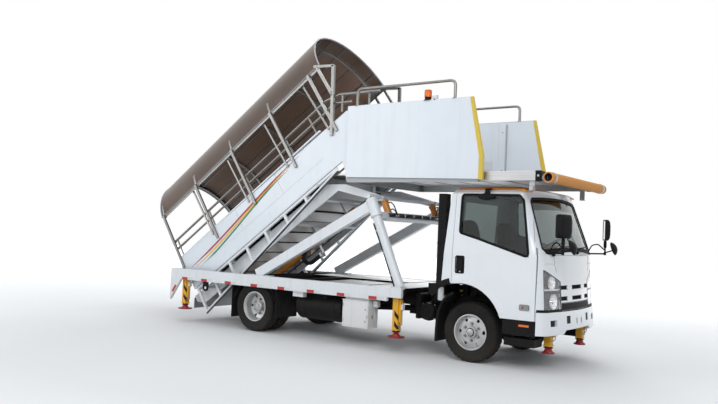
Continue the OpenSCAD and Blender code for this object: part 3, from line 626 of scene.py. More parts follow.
RECIPES = {
    # The next three finishes are white paints set to a cool blue-grey: painted shade lit by the sky
    "White panel paint": (paint, "panel_color", 0.32, 0.45, 0.10, 1.2, 0.10, 0.5),
    "White frame paint": (paint, "frame_color", 0.40, 0.30, 0.16, 1.4, 0.16, 0.3),
    "Cab paint": (paint, "cab_color", 0.22, 0.8, 0.07, 1.0, 0.05, 0.25),
    "Box paint": (paint, (0.70, 0.70, 0.70), 0.42, 0.2, 0.16, 1.0, 0.15, 0.5),
    "Chassis black": (paint, (0.007, 0.007, 0.008), 0.62, 0.0, 0.05, 1.0, 0.04, 0.4),
    "Engine grey": (paint, (0.02, 0.02, 0.022), 0.6, 0.0, 0.12, 1.2, 0.1, 0.4, 0.3),
    "Orange paint": (paint, "accent_color", 0.35, 0.4, 0.10, 1.0, 0.1, 0.3),
    "Yellow paint": (paint, "jack_color", 0.38, 0.1, 0.06, 1.0, 0.08, 0.3),
    "Edge yellow": (paint, (0.66, 0.47, 0.05), 0.45, 0.2, 0.08, 1.0, 0.15, 0.3),
    "Band black": (paint, (0.010, 0.010, 0.010), 0.4, 0.0, 0.05, 1.0, 0.0, 0.1),
    "Red paint": (paint, "foot_color", 0.45, 0.05, 0.07, 0.8, 0.04, 0.4),
    "Black plastic": (plastic, (0.005, 0.005, 0.006), 0.5, 0.2, 0.025, 500.0, 0.9),
    "Rubber seal": (plastic, (0.004, 0.004, 0.005), 0.6, 0.2, 0.015),
    "Hose rubber": (plastic, (0.006, 0.006, 0.006), 0.55, 0.3, 0.03),
    "Cab plastic": (plastic, (0.030, 0.031, 0.033), 0.65, 0.5, 0.03, 300.0, 0.9),
    "Seat cloth": (fabric, (0.055, 0.058, 0.064)),
    # Window glass is tinted far darker than clear glass: painted shade of the cab's inside seen through it
    "Window glass": (clear, (0.33, 0.38, 0.37), 0.0, 1.0, 1.45, 0.05),
    "Tinted band": (clear, (0.05, 0.09, 0.09), 0.03, 1.0, 1.45, 0.1),
    "Lamp lens": (clear, (0.95, 0.96, 0.97), 0.01, 1.0, 1.49, 0.03),
    "Amber lens": (clear, (0.95, 0.30, 0.03), 0.08, 0.6, 1.49, 0.2),
    "Amber reflector": (clear, (0.85, 0.20, 0.03), 0.18, 0.15, 1.49, 0.15),
    "Red reflector": (clear, (0.50, 0.02, 0.02), 0.22, 0.05, 1.49, 0.25),
    "White reflector": (plastic, (0.62, 0.63, 0.65), 0.35, 0.1, 0.12, 900.0),
    "Beacon lens": (clear, (0.95, 0.22, 0.03), 0.08, 0.35, 1.49, 0.2),
    "Reflector chrome": (metal, (0.82, 0.83, 0.85), 0.08, 0.0),
    "Wheel silver": (paint, (0.50, 0.51, 0.52), 0.38, 0.3, 0.22, 0.9, 0.1, 0.2, 0.65),
    "Wheel nut": (metal, (0.30, 0.29, 0.27), 0.45, 0.15),
    "Tyre rubber": (plastic, (0.012, 0.0115, 0.0115), 0.82, 0.3, 0.07, 220.0, 0.7),
    "Cylinder rod": (metal, (0.70, 0.71, 0.72), 0.12, 0.02),
    "Tread aluminium": (metal, (0.50, 0.51, 0.52), 0.42, 0.12),
    # Handrail steel and canopy aluminium are set far darker than bare metal: painted shade of the rails and
    # bars under the canopy
    "Handrail steel": (metal, (0.24, 0.235, 0.225), 0.34, 0.05),
    "Canopy aluminium": (metal, (0.29, 0.29, 0.285), 0.42, 0.08),
    "Zinc steel": (metal, (0.46, 0.47, 0.48), 0.40, 0.15),
    "Track steel": (metal, (0.10, 0.10, 0.11), 0.45, 0.15),
    "Roof sheet": (sheet_roof,),
    "Visor cream": (plastic, (0.60, 0.40, 0.23), 0.5, 0.2, 0.1, 200.0, 1.0),
    "Lamp housing": (plastic, (0.10, 0.105, 0.11), 0.25, 0.1, 0.02, 300.0, 1.0),
    "Roof trim": (plastic, (0.30, 0.31, 0.33), 0.45, 0.2, 0.1, 300.0, 1.0),
    "Platform grey": (paint, (0.40, 0.41, 0.42), 0.5, 0.1, 0.1, 1.0, 0.1, 0.5),
    "Platform aluminium": (metal, (0.58, 0.59, 0.60), 0.36, 0.1),
    "Bumper foam": (plastic, (0.60, 0.25, 0.045), 0.6, 0.5, 0.08, 260.0, 1.0),
    "Tube dark": (plastic, (0.02, 0.025, 0.045), 0.6, 0.3, 0.05, 260.0, 1.0),
    "Stripe green": (paint, "third_stripe", 0.35, 0.3, 0.06, 1.0, 0.05, 0.1),
    "Stripe yellow": (paint, "second_stripe", 0.35, 0.3, 0.06, 1.0, 0.05, 0.1),
    "Stripe red": (paint, "first_stripe", 0.35, 0.3, 0.06, 1.0, 0.05, 0.1),
    "Stage floor": (floor_surface,),
}

NODE_FINISH = {
    "Chassis black": ("chassis", "front_axle", "rear_axle", "deck_frame", "fenders", "knuckle_l",
                      "knuckle_r"),
    "Engine grey": ("engine",),
    "Black plastic": ("tanks", "mirrors", "cab_trim", "cab_interior"),
    "White frame paint": ("leg_frame", "lower_frame", "deck_sides"),
    "White panel paint": ("upper_sides", "platform_sides"),
    "Cab paint": ("cab_shell", "bumper", "door_l", "door_r"),
    "Box paint": ("control_box",),
    "Orange paint": ("roof_cap", "lift_barrels", "slide_barrel"),
    "Yellow paint": ("jack_barrels",),
    "Red paint": ("jack_fl", "jack_fr", "jack_ml", "jack_mr", "jack_rl", "jack_rr"),
    "Window glass": ("cab_glass", "door_glass_l", "door_glass_r"),
    "Lamp lens": ("lamps",),
    "Wheel silver": ("rim_fl", "rim_fr", "rim_rl", "rim_rr"),
    "Tyre rubber": ("tyre_fl", "tyre_fr", "tyre_rl", "tyre_rr"),
    "Cylinder rod": ("lift_head", "slide_rod"),
    "Tread aluminium": ("lower_steps", "upper_steps"),
    "Handrail steel": ("handrails", "platform_rails"),
    "Canopy aluminium": ("canopy_frame",),
    "Roof sheet": ("canopy_roof",),
    "Platform grey": ("platform_floor",),
    "Platform aluminium": ("extension",),
    "Beacon lens": ("beacon",),
    "Bumper foam": ("bumper_tube",),
}


# Pieces: wheels

def wheel_at(x, y, side):
    """Matrix of a wheel with its z axis pointing outward."""
    return track((x, side * y, AXLE_Z), (0, side, 0))


def build_tyre(b, at):
    """Road tyre with four ribs, shoulder blocks and ringed side walls."""
    half = [(0.237, 0.084), (0.243, 0.094), (0.262, 0.103), (0.280, 0.1075), (0.284, 0.1095), (0.289, 0.1080),
            (0.318, 0.1122), (0.336, 0.1125), (0.352, 0.1105), (0.368, 0.1062), (0.3725, 0.1060),
            (0.381, 0.1010), (0.3885, 0.0935), (0.3945, 0.0840), (0.3965, 0.0560), (0.3965, 0.0500),
            (0.3870, 0.0485), (0.3870, 0.0425), (0.3975, 0.0410), (0.3980, 0.0145), (0.3880, 0.0130),
            (0.3880, 0.0075), (0.3980, 0.0060)]
    shoulder = range(11, 16)
    rings = half + [(r, -h) for r, h in half[::-1]]
    n = len(rings)
    cut = set(shoulder) | {n - 1 - k for k in shoulder}
    inner = {18, 19, 22, n - 19, n - 20, n - 23}

    def radius(k, i, r):
        if k in cut and i % 4 == 0:
            return r - 0.009
        if k in inner and i % 4 == 2:
            return r - 0.004
        return r

    b.turn(rings, at, 144, closed=True, radius=radius)


def build_wheels():
    """Tyres in place of the plain rings, with nuts, hub caps and valves on the rims."""
    wheels = (("front_left", "wheel_front_left", 0.0, (0.832,), 1, "tyre_fl"),
              ("front_right", "wheel_front_right", 0.0, (0.832,), -1, "tyre_fr"),
              ("rear_left", "wheels_rear_left", -WHEELBASE, (0.940, 0.672), 1, "tyre_rl"),
              ("rear_right", "wheels_rear_right", -WHEELBASE, (0.940, 0.672), -1, "tyre_rr"))
    for name, body, x, ys, side, node in wheels:
        b = Build()
        for y in ys:
            build_tyre(b, wheel_at(x, y, side))
        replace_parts(piece("tyres_" + name, b, body, "tyre", "Tyre rubber", sharp=25), node)
        b = Build()
        at = wheel_at(x, ys[0], side)
        front = x == 0.0
        face = 0.042 if front else -0.044
        for i in range(6):
            w = math.radians(i * 60 + 30)
            spot = at @ Matrix.Translation((0.111 * math.cos(w), 0.111 * math.sin(w), face))
            b.turn([(0, 0.0), (0.022, 0.0), (0.022, 0.004), (0.018, 0.005)], spot, 20)
            b.turn([(0, 0.004), (0.0185, 0.004), (0.0185, 0.024), (0.0165, 0.027), (0, 0.027)], spot, 6)
            b.turn([(0, 0.02), (0.010, 0.02), (0.010, 0.037), (0.008, 0.039), (0, 0.039)], spot, 14)
        if front:
            cap = [(0.079, 0.070), (0.074, 0.0885), (0.060, 0.0900), (0.056, 0.0870), (0.050, 0.0870),
                   (0.046, 0.0990), (0.030, 0.1040), (0.0, 0.1050)]
        else:
            cap = [(0.080, 0.002), (0.080, 0.0150), (0.072, 0.0210), (0.060, 0.0220), (0.055, 0.0140),
                   (0.036, 0.0140), (0.030, 0.0240), (0.0, 0.0260)]
        b.turn(cap, at, 36, mat=1)
        # Bolts round the hub's flange
        for i in range(8):
            w = 2 * PI * i / 8
            b.bolt(at @ Vector((0.067 * math.cos(w), 0.067 * math.sin(w), cap[2][1])),
                   (0, side, 0), 0.005, 0.005, 1)
        # Bead lip, balance weight and valve
        b.turn([(0.2385, 0.093), (0.2385, 0.0965), (0.2300, 0.0985), (0.2240, 0.0965), (0.2240, 0.093)],
               at, 72, mat=2, closed=True)
        stem = at @ Vector((0.196, 0.03, face + 0.01))
        b.tube([stem, at @ Vector((0.190, 0.03, face + 0.05))], 0.005, 8, 3)
        piece("wheel_fittings_" + name, b, body, "rim_silver", "Wheel nut", "Zinc steel", "Wheel silver",
              "Rubber seal")


# Pieces: deck, jacks and undercarriage

REFLECTORS = (-5.385, -4.907, -4.341, -3.754, -3.177, -2.584, -2.012, -1.443)


def build_deck(settings):
    """Marker reflectors, lips and deck plating."""
    b = Build()
    size = settings.reflector_length
    for s in SIDES:
        y0, y1 = s * DECK_Y, s * (DECK_Y + 0.0016)
        for x in REFLECTORS:
            b.block((x - size / 2, y0, 0.722), (x + size / 2, y1, 0.768), 0.0006, 0)
            b.block((x + size / 2 + 0.004, y0, 0.722), (x + size / 2 + 0.118, y1, 0.768), 0.0006, 1)
        d = Vector((-0.253, 0, -0.366)).normalized()
        n = Vector((-d.z, 0, d.x))
        p = Vector((-5.648, s * DECK_Y, 0.556))
        if n.x > 0:
            n = -n
        q = [p - d * 0.07 - n * 0.022, p + d * 0.07 - n * 0.022, p + d * 0.07 + n * 0.022,
             p - d * 0.07 + n * 0.022]
        b.slab(q, (0, s * 0.0016, 0), 0)
    piece("deck_reflectors", b, "truck", "red_paint", "Red reflector", "White reflector")
    b = Build()
    for s in SIDES:
        w = s * (DECK_Y - 0.05)
        # Folded lip along the top and stiffening flange along the foot of each side rail
        b.block((-5.74, w, 0.890), (-0.970, w - s * 0.045, 0.9075), 0.003)
        b.block((-5.46, w, 0.722), (-1.225, w - s * 0.040, 0.728), 0.002)
        for x in (-5.2, -4.75, -4.3, -3.0, -2.55, -2.1):
            b.prism([(x, 0.73), (x + 0.008, 0.73), (x + 0.008, 0.803), (x, 0.803)], w, w - s * 0.05)
    # Rear lip, open where the canopy's end posts come down
    for y0, y1 in ((-1.09, -0.995), (-0.915, 0.915), (0.995, 1.09)):
        b.block((-5.742, y0, 0.80), (-5.700, y1, 0.906), 0.004)
    piece("deck_edges", b, "truck", "white_paint", "White frame paint")
    b = Build()
    top = 0.9025
    pitch = 0.042
    for x0, x1, y0, y1 in ((-1.60, -1.00, -1.05, 1.05), (-2.49, -1.67, -1.05, -0.22),
                           (-3.64, -1.67, 0.22, 1.05)):
        b.block((x0 + 0.002, y0, top - 0.002), (x1 - 0.002, y1, top + 0.0002), 0.0005)
        rows = int((x1 - x0) / pitch)
        cols = int((y1 - y0) / pitch)
        for i in range(rows):
            for j in range(cols):
                c = Vector((x0 + pitch / 2 + i * pitch, y0 + pitch / 2 + j * pitch, top))
                angle = math.radians(45 if (i + j) % 2 else -45)
                turn = Matrix.Translation(c) @ Matrix.Rotation(angle, 4, "Z")
                pts = [(-0.014, 0, 0), (0, -0.0035, 0), (0.014, 0, 0), (0, 0.0035, 0), (-0.008, 0, 0.0018),
                       (0.008, 0, 0.0018)]
                b.add([turn @ Vector(p) for p in pts],
                      [(0, 1, 4), (1, 5, 4), (1, 2, 5), (2, 3, 5), (3, 4, 5), (3, 0, 4), (0, 3, 2, 1)])
    piece("deck_plating", b, "truck", "step_alu", "Tread aluminium")
    b = Build()
    # Brake and hydraulic lines along the chassis, clipped to the rails
    for s in SIDES:
        for k in range(3):
            z = 0.800 - 0.03 * k
            y = s * (0.381 + 0.004 * k)
            b.tube([(-4.15, y, z), (-2.6, y, z - 0.004), (-0.9, y, z), (-0.45, y, z + 0.002)], 0.006, 8)
        for x in (-3.9, -3.2, -2.05, -1.2):
            b.block((x, s * 0.375, 0.725), (x + 0.02, s * 0.398, 0.815), 0.002)
    piece("chassis_lines", b, "truck", "black_frame", "Hose rubber")
    b = Build()
    # Tail lamps, plate holder and rear under-run bar
    for s in SIDES:
        b.block((-5.7445, s * 0.78, 0.815), (-5.738, s * 1.04, 0.895), 0.003, 0)
        for k, mat in enumerate((1, 2, 1)):
            b.block((-5.7452, s * (0.790 + k * 0.084), 0.823), (-5.741, s * (0.868 + k * 0.084), 0.887),
                    0.003, mat)
    b.block((-5.7448, -0.16, 0.822), (-5.7405, 0.16, 0.892), 0.003, 3)
    piece("tail_lamps", b, "truck", "black_plastic", "Black plastic", "Red reflector", "Amber reflector",
          "White reflector")


PAD_Z = 0.205
JACKS = ((-5.490, 1.005, 0.300, 0.805), (-1.110, 1.005, 0.310, 0.805), (0.960, 0.600, 0.300, 0.620))
JACK_NAMES = ("rear", "middle", "front")
# Lower edges of the bands on each barrel, and radius of each pad
JACK_BANDS = ((0.357, 0.512), (0.320, 0.468), ())
PAD_R = (0.122, 0.122, 0.082)


def build_jacks():
    """Bands, valve blocks, collars and pad rims of the six stabilising jacks."""
    bands, blocks = Build(), Build()
    half = 0.045
    for i, (x, y, z0, z1) in enumerate(JACKS):
        for s in SIDES:
            yy = s * y
            for z in JACK_BANDS[i]:
                # Slanting band on the outer face that runs on round the front edge
                face = [(-0.012, z + 0.055), (half, z - 0.005), (half, z + 0.063), (-0.012, z + 0.123)]
                bands.slab([(x + p, yy + s * half, q) for p, q in face], (0, s * 0.001, 0))
                edge = [(half, z - 0.005), (0.014, z - 0.036), (0.014, z + 0.032), (half, z + 0.063)]
                bands.slab([(x + half, yy + s * p, q) for p, q in edge], (0.001, 0, 0))
            # Foot collar with a wiper ring
            blocks.block((x - 0.052, yy - 0.052, z0 - 0.002), (x + 0.052, yy + 0.052, z0 + 0.020), 0.004, 0)
            blocks.turn([(0.032, -0.014), (0.046, -0.014), (0.046, 0.0), (0.032, 0.0)],
                        Matrix.Translation((x, yy, z0)), 24, 2, closed=True)
            # Valve block, its connector and a rigid feed line
            zt = min(z1 - 0.16, 0.62)
            blocks.block((x + 0.080, yy - 0.030, zt - 0.02), (x + 0.112, yy + 0.030, zt + 0.06), 0.004, 1)
            blocks.tube([(x + 0.096, yy, zt + 0.055), (x + 0.096, yy, zt + 0.085)], 0.012, 10, 3)
            if i < 2:
                # Slim return cylinder beside the barrel
                blocks.tube([(x + 0.067, yy + 0.012, z0 + 0.075), (x + 0.067, yy + 0.012, zt - 0.02)],
                            0.019, 14, 0)
                blocks.block((x + 0.044, yy - 0.010, zt - 0.030), (x + 0.092, yy + 0.034, zt + 0.050),
                             0.004, 0)
            blocks.tube(rounded([(x + 0.096, yy - 0.012, zt - 0.018), (x + 0.096, yy - 0.012, z0 + 0.10),
                                 (x + 0.048, yy - 0.012, z0 + 0.06)], 0.03), 0.006, 8, 3)
            blocks.block((x + 0.044, yy - 0.024, z0 + 0.045), (x + 0.060, yy + 0.004, z0 + 0.078), 0.002, 3)
    piece("jack_bands", bands, "truck", "black_plastic", "Band black")
    piece("jack_fittings", blocks, "truck", "yellow_paint", "Yellow paint", "White reflector", "Rubber seal",
          "Zinc steel")
    for i, (x, y, z0, z1) in enumerate(JACKS):
        for s, side in zip(SIDES, ("right", "left")):
            b = Build()
            at = Matrix.Translation((x, s * y, PAD_Z))
            r, top = PAD_R[i], z0 - PAD_Z
            # Dished pad, its boss, the flange that meets the barrel and the rod inside it
            b.turn([(0.0, 0.0), (r - 0.010, 0.0), (r, 0.006), (r + 0.001, 0.013), (r - 0.004, 0.020),
                    (r - 0.016, 0.017), (0.060, 0.022), (0.054, 0.040), (0.040, 0.062), (0.0, 0.062)], at, 40)
            b.turn([(0.0, 0.055), (0.052, top - 0.028), (0.066, top - 0.016), (0.066, top - 0.015),
                    (0.0, top - 0.015)], at, 36)
            for k in range(4):
                w = PI / 4 + k * PI / 2
                b.bolt(at @ Vector(((r - 0.021) * math.cos(w), (r - 0.021) * math.sin(w), 0.018)),
                       (0, 0, 1), 0.006, 0.006, 1)
            b.turn([(0.0, top - 0.016), (0.0292, top - 0.016), (0.0292, top + 0.200), (0.0, top + 0.200)],
                   at, 28, 2)
            pad = piece("jack_pad_%s_%s" % (JACK_NAMES[i], side), b, "foot_%s_%s" % (JACK_NAMES[i], side),
                        "red_paint", "Red paint", "Zinc steel", "Cylinder rod")
            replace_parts(pad, "jack_" + JACK_NAMES[i][0] + side[0])


# Line of the front mudguards behind the wheel: x, z and the way they face, in degrees
GUARD = ((-0.235, 0.905, 68), (-0.330, 0.850, 50), (-0.405, 0.760, 34), (-0.450, 0.650, 20),
         (-0.472, 0.520, 8), (-0.480, 0.380, 2), (-0.482, 0.230, 0))


def build_undercarriage():
    """Control cabinet door, tank straps, side lamp box, mud flaps and axle fittings."""
    b = Build()
    y = -1.120
    b.block((-1.962, y, 0.306), (-1.539, y - 0.006, 0.659), 0.003, 0)
    for z in (0.36, 0.58):
        b.block((-1.972, y - 0.002, z), (-1.955, y - 0.010, z + 0.05), 0.002, 1)
    for z in (0.39, 0.56):
        b.turn([(0, 0), (0.015, 0), (0.015, 0.004), (0.007, 0.006), (0, 0.006)],
               track((-1.568, y - 0.006, z), (0, -1, 0)), 20, 1)
    # Bare label place framed by a thin bead, and the latch
    label = [(-1.870, y - 0.006, 0.460), (-1.680, y - 0.006, 0.460), (-1.680, y - 0.006, 0.560),
             (-1.870, y - 0.006, 0.560)]
    b.tube(rounded(label, 0.02, 4, True), 0.0016, 6, 0, True)
    b.block((-1.548, y - 0.004, 0.440), (-1.534, y - 0.014, 0.480), 0.003, 1)
    b.block((-1.500, -1.040, 0.600), (-1.425, -0.960, 0.690), 0.004, 2)
    b.block((-1.990, -1.128, 0.6752), (-1.511, -0.862, 0.684), 0.003, 0)
    b.block((-1.5235, -1.035, 0.430), (-1.515, -1.000, 0.475), 0.003, 1)
    b.block((-1.5235, -0.960, 0.400), (-1.519, -0.900, 0.620), 0.003, 0)
    piece("control_cabinet_door", b, "truck", "box_white", "Box paint", "Zinc steel", "White reflector")
    b = Build()
    # Straps and ends of the fuel tank, and the air tanks
    for x in (-2.86, -2.28):
        b.turn([(0.2165, -0.022), (0.2195, -0.022), (0.2195, 0.022), (0.2165, 0.022)],
               track((x, -0.76, 0.50), (1, 0, 0)), 48, 1, closed=True)
    for x, s in ((-2.990, -1), (-2.130, 1)):
        b.turn([(0.0, 0.02), (0.12, 0.018), (0.19, 0.006), (0.2165, -0.012), (0.2165, -0.03)],
               track((x, -0.76, 0.50), (s, 0, 0)), 48, 0)
    b.turn([(0.0, 0.0), (0.038, 0.0), (0.040, 0.022), (0.034, 0.030), (0, 0.030)],
           track((-2.45, -0.905, 0.655), (0, -0.7, 0.7)), 28, 2)
    for x in (-2.70, -2.35):
        b.turn([(0.131, -0.015), (0.1335, -0.015), (0.1335, 0.015), (0.131, 0.015)],
               track((x, 0.62, 0.56), (1, 0, 0)), 40, 1, closed=True)
    # Small box below the deck rail
    b.block((-2.985, -1.075, 0.635), (-2.775, -0.985, 0.719), 0.004, 3)
    b.block((-2.975, -1.0768, 0.642), (-2.785, -1.0755, 0.712), 0.001, 3)
    piece("tank_fittings", b, "truck", "black_plastic", "Black plastic", "Chassis black", "Band black",
          "Box paint")
    b = Build()
    for s in SIDES:
        for x in (-WHEELBASE - 0.488, -WHEELBASE + 0.478):
            low = 0.19 if x < -WHEELBASE else 0.26
            # Ribs and a hem on each flap
            for k in range(6):
                yy = s * (0.60 + k * 0.080)
                b.block((x - 0.0075, yy, low + 0.02), (x + 0.0075, yy + s * 0.012, 0.70), 0.002)
            b.block((x - 0.009, s * 0.55, low - 0.002), (x + 0.009, s * 1.062, low + 0.014), 0.003)
    piece("flap_ribs", b, "truck", "black_plastic", "Black plastic")
    b = Build()
    # U-bolts, shackles and shock absorbers
    for x, y, z, off in ((0.0, 0.34, AXLE_Z + 0.055, 0.035), (-WHEELBASE, 0.42, AXLE_Z + 0.10, 0.045)):
        for s in SIDES:
            for dx in (-off, off):
                path = [(x + dx, s * y - 0.045, z - 0.14), (x + dx, s * y - 0.045, z + 0.03),
                        (x + dx, s * y + 0.045, z + 0.03), (x + dx, s * y + 0.045, z - 0.14)]
                b.tube(rounded(path, 0.02), 0.007, 8, 0)
            for dx in (-0.55, 0.55):
                b.turn([(0, -0.048), (0.028, -0.048), (0.028, 0.048), (0, 0.048)],
                       track((x + dx, s * y, z - 0.012), (0, 1, 0)), 20, 1)
    for s in SIDES:
        for r, a, c in ((0.028, 0.0, 0.55), (0.020, 0.5, 1.0)):
            p, q = Vector((0.12, s * 0.47, 0.36)), Vector((0.02, s * 0.44, 0.74))
            b.tube([p.lerp(q, a), p.lerp(q, c)], r, 16, 1)
    piece("axle_fittings", b, "truck", "black_frame", "Zinc steel", "Chassis black")
    b = Build()
    for s in SIDES:
        # Rear half of each front mudguard: a bent sheet with a turned lip
        form = ((0.0, -0.700), (0.0, -0.972), (0.022, -0.984), (0.022, -0.988), (-0.006, -0.976),
                (-0.006, -0.700))
        rings = []
        for x, z, w in GUARD:
            c, t = math.cos(math.radians(w)), math.sin(math.radians(w))
            rings.append([(x - r * c, -s * y, z + r * t) for r, y in form])
        b.loft(rings, 0)
        b.block((-0.430, s * 0.72, 0.860), (-0.250, s * 0.90, 0.868), 0.002, 0)
    piece("front_mudguards", b, "truck", "black_plastic", "Black plastic")
    b = Build()
    # Air cleaner with its lid and duct, battery box behind it
    at = track((-0.775, -0.46, 0.590), (0, -1, 0))
    b.turn([(0.0, 0.0), (0.118, 0.0), (0.126, 0.010), (0.126, 0.210), (0.134, 0.214), (0.134, 0.232),
            (0.124, 0.238), (0.122, 0.290), (0.110, 0.302), (0.080, 0.302), (0.074, 0.296), (0.040, 0.296),
            (0.034, 0.304), (0.0, 0.304)], at, 44, 0)
    for k in range(4):
        w = PI / 4 + k * PI / 2
        c = at @ Vector((0.134 * math.cos(w), 0.134 * math.sin(w), 0.222))
        b.block(c - Vector((0.010, 0.020, 0.010)), c + Vector((0.010, 0.020, 0.010)), 0.003, 1)
    duct = [(-0.500, -0.840, 1.10), (-0.510, -0.835, 0.96), (-0.620, -0.760, 0.800), (-0.720, -0.640, 0.700)]
    b.tube(rounded(duct, 0.12, 6), 0.046, 16, 0)
    for k in range(9):
        c, q = Vector(duct[1]).lerp(Vector(duct[2]), k / 9), Vector(duct[2]) - Vector(duct[1])
        b.turn([(0.046, -0.006), (0.050, -0.003), (0.050, 0.003), (0.046, 0.006)], track(c, q), 20, 0,
               closed=True)
    b.block((-0.990, -0.700, 0.470), (-0.910, -0.420, 0.830), 0.012, 0)
    b.block((-0.900, -0.450, 0.700), (-0.520, -0.400, 0.800), 0.006, 0)
    piece("air_cleaner", b, "truck", "black_plastic", "Black plastic", "Zinc steel")


# Pieces: leg frame and lift

def build_lift():
    """Collars, foot plates, glands and hydraulic lines of the leg frame."""
    b = Build()
    lean = Vector((-math.sin(LEG_LEAN), 0, math.cos(LEG_LEAN)))
    for s in SIDES:
        y = s * 1.05
        for at, w in ((1.105, 0.014), (1.340, 0.026)):
            b.turn([(0.083, -w), (0.0875, -w * 0.7), (0.0875, w * 0.7), (0.083, w)],
                   track(leg_point(at, y), lean), 40, 0, closed=True)
        # Foot flange with its bolts on the deck rail, and weld beads
        b.block((-1.155, y - 0.088, 0.9082), (-0.972, y + 0.088, 0.918), 0.003, 0)
        for dx in (-1.14, -0.987):
            for dy in (-0.07, 0.07):
                b.bolt((dx, y + dy, 0.918), (0, 0, 1), 0.009, 0.008, 1)
        b.tube([leg_point(0.018, y) + Vector((0.069 * math.cos(w), 0.069 * math.sin(w), 0.03 - 0.028 *
                math.cos(w))) for w in [2 * PI * k / 24 for k in range(24)]], 0.005, 6, 0, closed=True)
        b.block((-3.93, y - 0.075, 0.9082), (-3.46, y + 0.075, 0.916), 0.003, 0)
        for dx in (-3.91, -3.49):
            for dy in (-0.06, 0.06):
                b.bolt((dx, y + dy, 0.916), (0, 0, 1), 0.009, 0.008, 1)
    piece("leg_collars", b, "truck", "white_paint", "White frame paint", "Zinc steel")
    b = Build()
    for s in SIDES:
        y = s * 0.71
        base = 1.100 + 0.0503
        # Base flange, gland and ports of the short lift cylinder
        b.turn([(0.0, 0.0), (0.058, 0.0), (0.058, 0.016), (0.0505, 0.018)],
               track(leg_point(base, y), lean), 36, 0)
        b.turn([(0.0315, 0.0), (0.056, 0.0), (0.058, 0.004), (0.058, 0.030), (0.045, 0.034), (0.0315, 0.034)],
               track(leg_point(1.100 + 0.228, y), lean), 36, 0, closed=True)
        b.turn([(0.0312, 0.0), (0.040, 0.0), (0.040, 0.010), (0.0312, 0.012)],
               track(leg_point(1.363, y), lean), 30, 2, closed=True)
        for k, at in enumerate((base + 0.04, 1.30)):
            p = leg_point(at, y, 0.048)
            n = Vector((math.cos(LEG_LEAN), 0, math.sin(LEG_LEAN)))
            b.turn([(0, 0), (0.013, 0), (0.013, 0.016), (0, 0.018)], track(p, n), 6, 1)
            # Hose that bends over its port and is clipped to the cross tube
            down = leg_point(1.100, y - s * (0.10 + 0.05 * k), 0.056)
            path = [p + n * 0.012, p + n * 0.05, p + n * 0.055 - lean * 0.05 - Vector((0, s * 0.05, 0)), down]
            b.tube(rounded(path, 0.05, 6), 0.0085, 10, 2)
            b.block(down - Vector((0.02, 0.014, 0.014)), down + Vector((0.012, 0.014, 0.014)), 0.003, 1)
    # Main lines along the front of the cross tube and down one leg
    for k in range(3):
        run = [leg_point(1.10 - 0.022 * (k - 1), -0.80, 0.058),
               leg_point(1.10 - 0.022 * (k - 1), 0.97, 0.058),
               leg_point(0.95, 0.97 + 0.005 * k, 0.062), leg_point(0.10, 0.975 + 0.012 * k, 0.02)]
        b.tube(rounded(run, 0.06, 6), 0.0075, 8, 2)
    # Hose clipped up the back of the right leg
    path = [leg_point(0.06, -1.05, -0.088), leg_point(0.55, -1.05, -0.082), leg_point(1.02, -1.05, -0.090)]
    b.tube(rounded(path, 0.2, 6), 0.011, 10, 2)
    for at in (0.22, 0.56, 0.90):
        c = leg_point(at, -1.05, -0.078)
        b.block(c - Vector((0.016, 0.018, 0.012)), c + Vector((0.014, 0.018, 0.012)), 0.003, 1)
    # Clips that hold the main lines on the cross tube
    for k in range(6):
        c = leg_point(1.10, -0.62 + k * 0.25, 0.055)
        b.block(c - Vector((0.008, 0.012, 0.034)), c + Vector((0.014, 0.012, 0.034)), 0.003, 1)
    piece("lift_fittings", b, "truck", "orange_paint", "Orange paint", "Zinc steel", "Hose rubber")
    b = Build()
    for s in SIDES:
        # Rod eyes under the head shaft
        for y in (s * 0.71, s * 1.05):
            r = 0.044 if abs(y) < 0.9 else 0.060
            b.turn([(r - 0.012, -0.022), (r, -0.020), (r, 0.0), (r - 0.014, 0.0)],
                   track(leg_point(1.370, y), lean), 32, 0, closed=True)
    piece("lift_eyes", b, "lift_head", "rod_steel", "Zinc steel")


# Pieces: flights

def panel_band(b, us, centre, width, y, thick, mat):
    """Thin band that follows centre(u) on a side panel at y."""
    b.loft([[slope_point(u, centre(u) + side * width(u) / 2, y + off) for side, off in
             ((1, 0), (-1, 0), (-1, thick), (1, thick))] for u in us], mat)


def build_stripes(settings):
    """Three plain colour bands that rise along the upper side panels and part towards their ends."""
    b = Build()
    n = 48
    for s in SIDES:
        y = s * (PANEL_Y - 0.010)
        for k in range(3):
            u0, u1 = -0.78 + 0.10 * k, 2.25 - 0.16 * k

            def centre(u, k=k, u0=u0, u1=u1):
                t = (u - u0) / (u1 - u0)
                ease = t * t * (3 - 2 * t)
                return 0.315 + 0.235 * ease + (0.040 * (1 - k)) * (1.35 - 0.6 * ease)

            def width(u, u0=u0, u1=u1):
                t = (u - u0) / (u1 - u0)
                return settings.stripe_width * min(1.0, 0.15 + 5 * t, 0.08 + 4 * (1 - t))

            us = [u0 + (u1 - u0) * i / n for i in range(n + 1)]
            panel_band(b, us, centre, width, y, s * 0.0008, k)
    piece("panel_stripes", b, "upper_flight", "white_paint", "Stripe red", "Stripe yellow", "Stripe green")


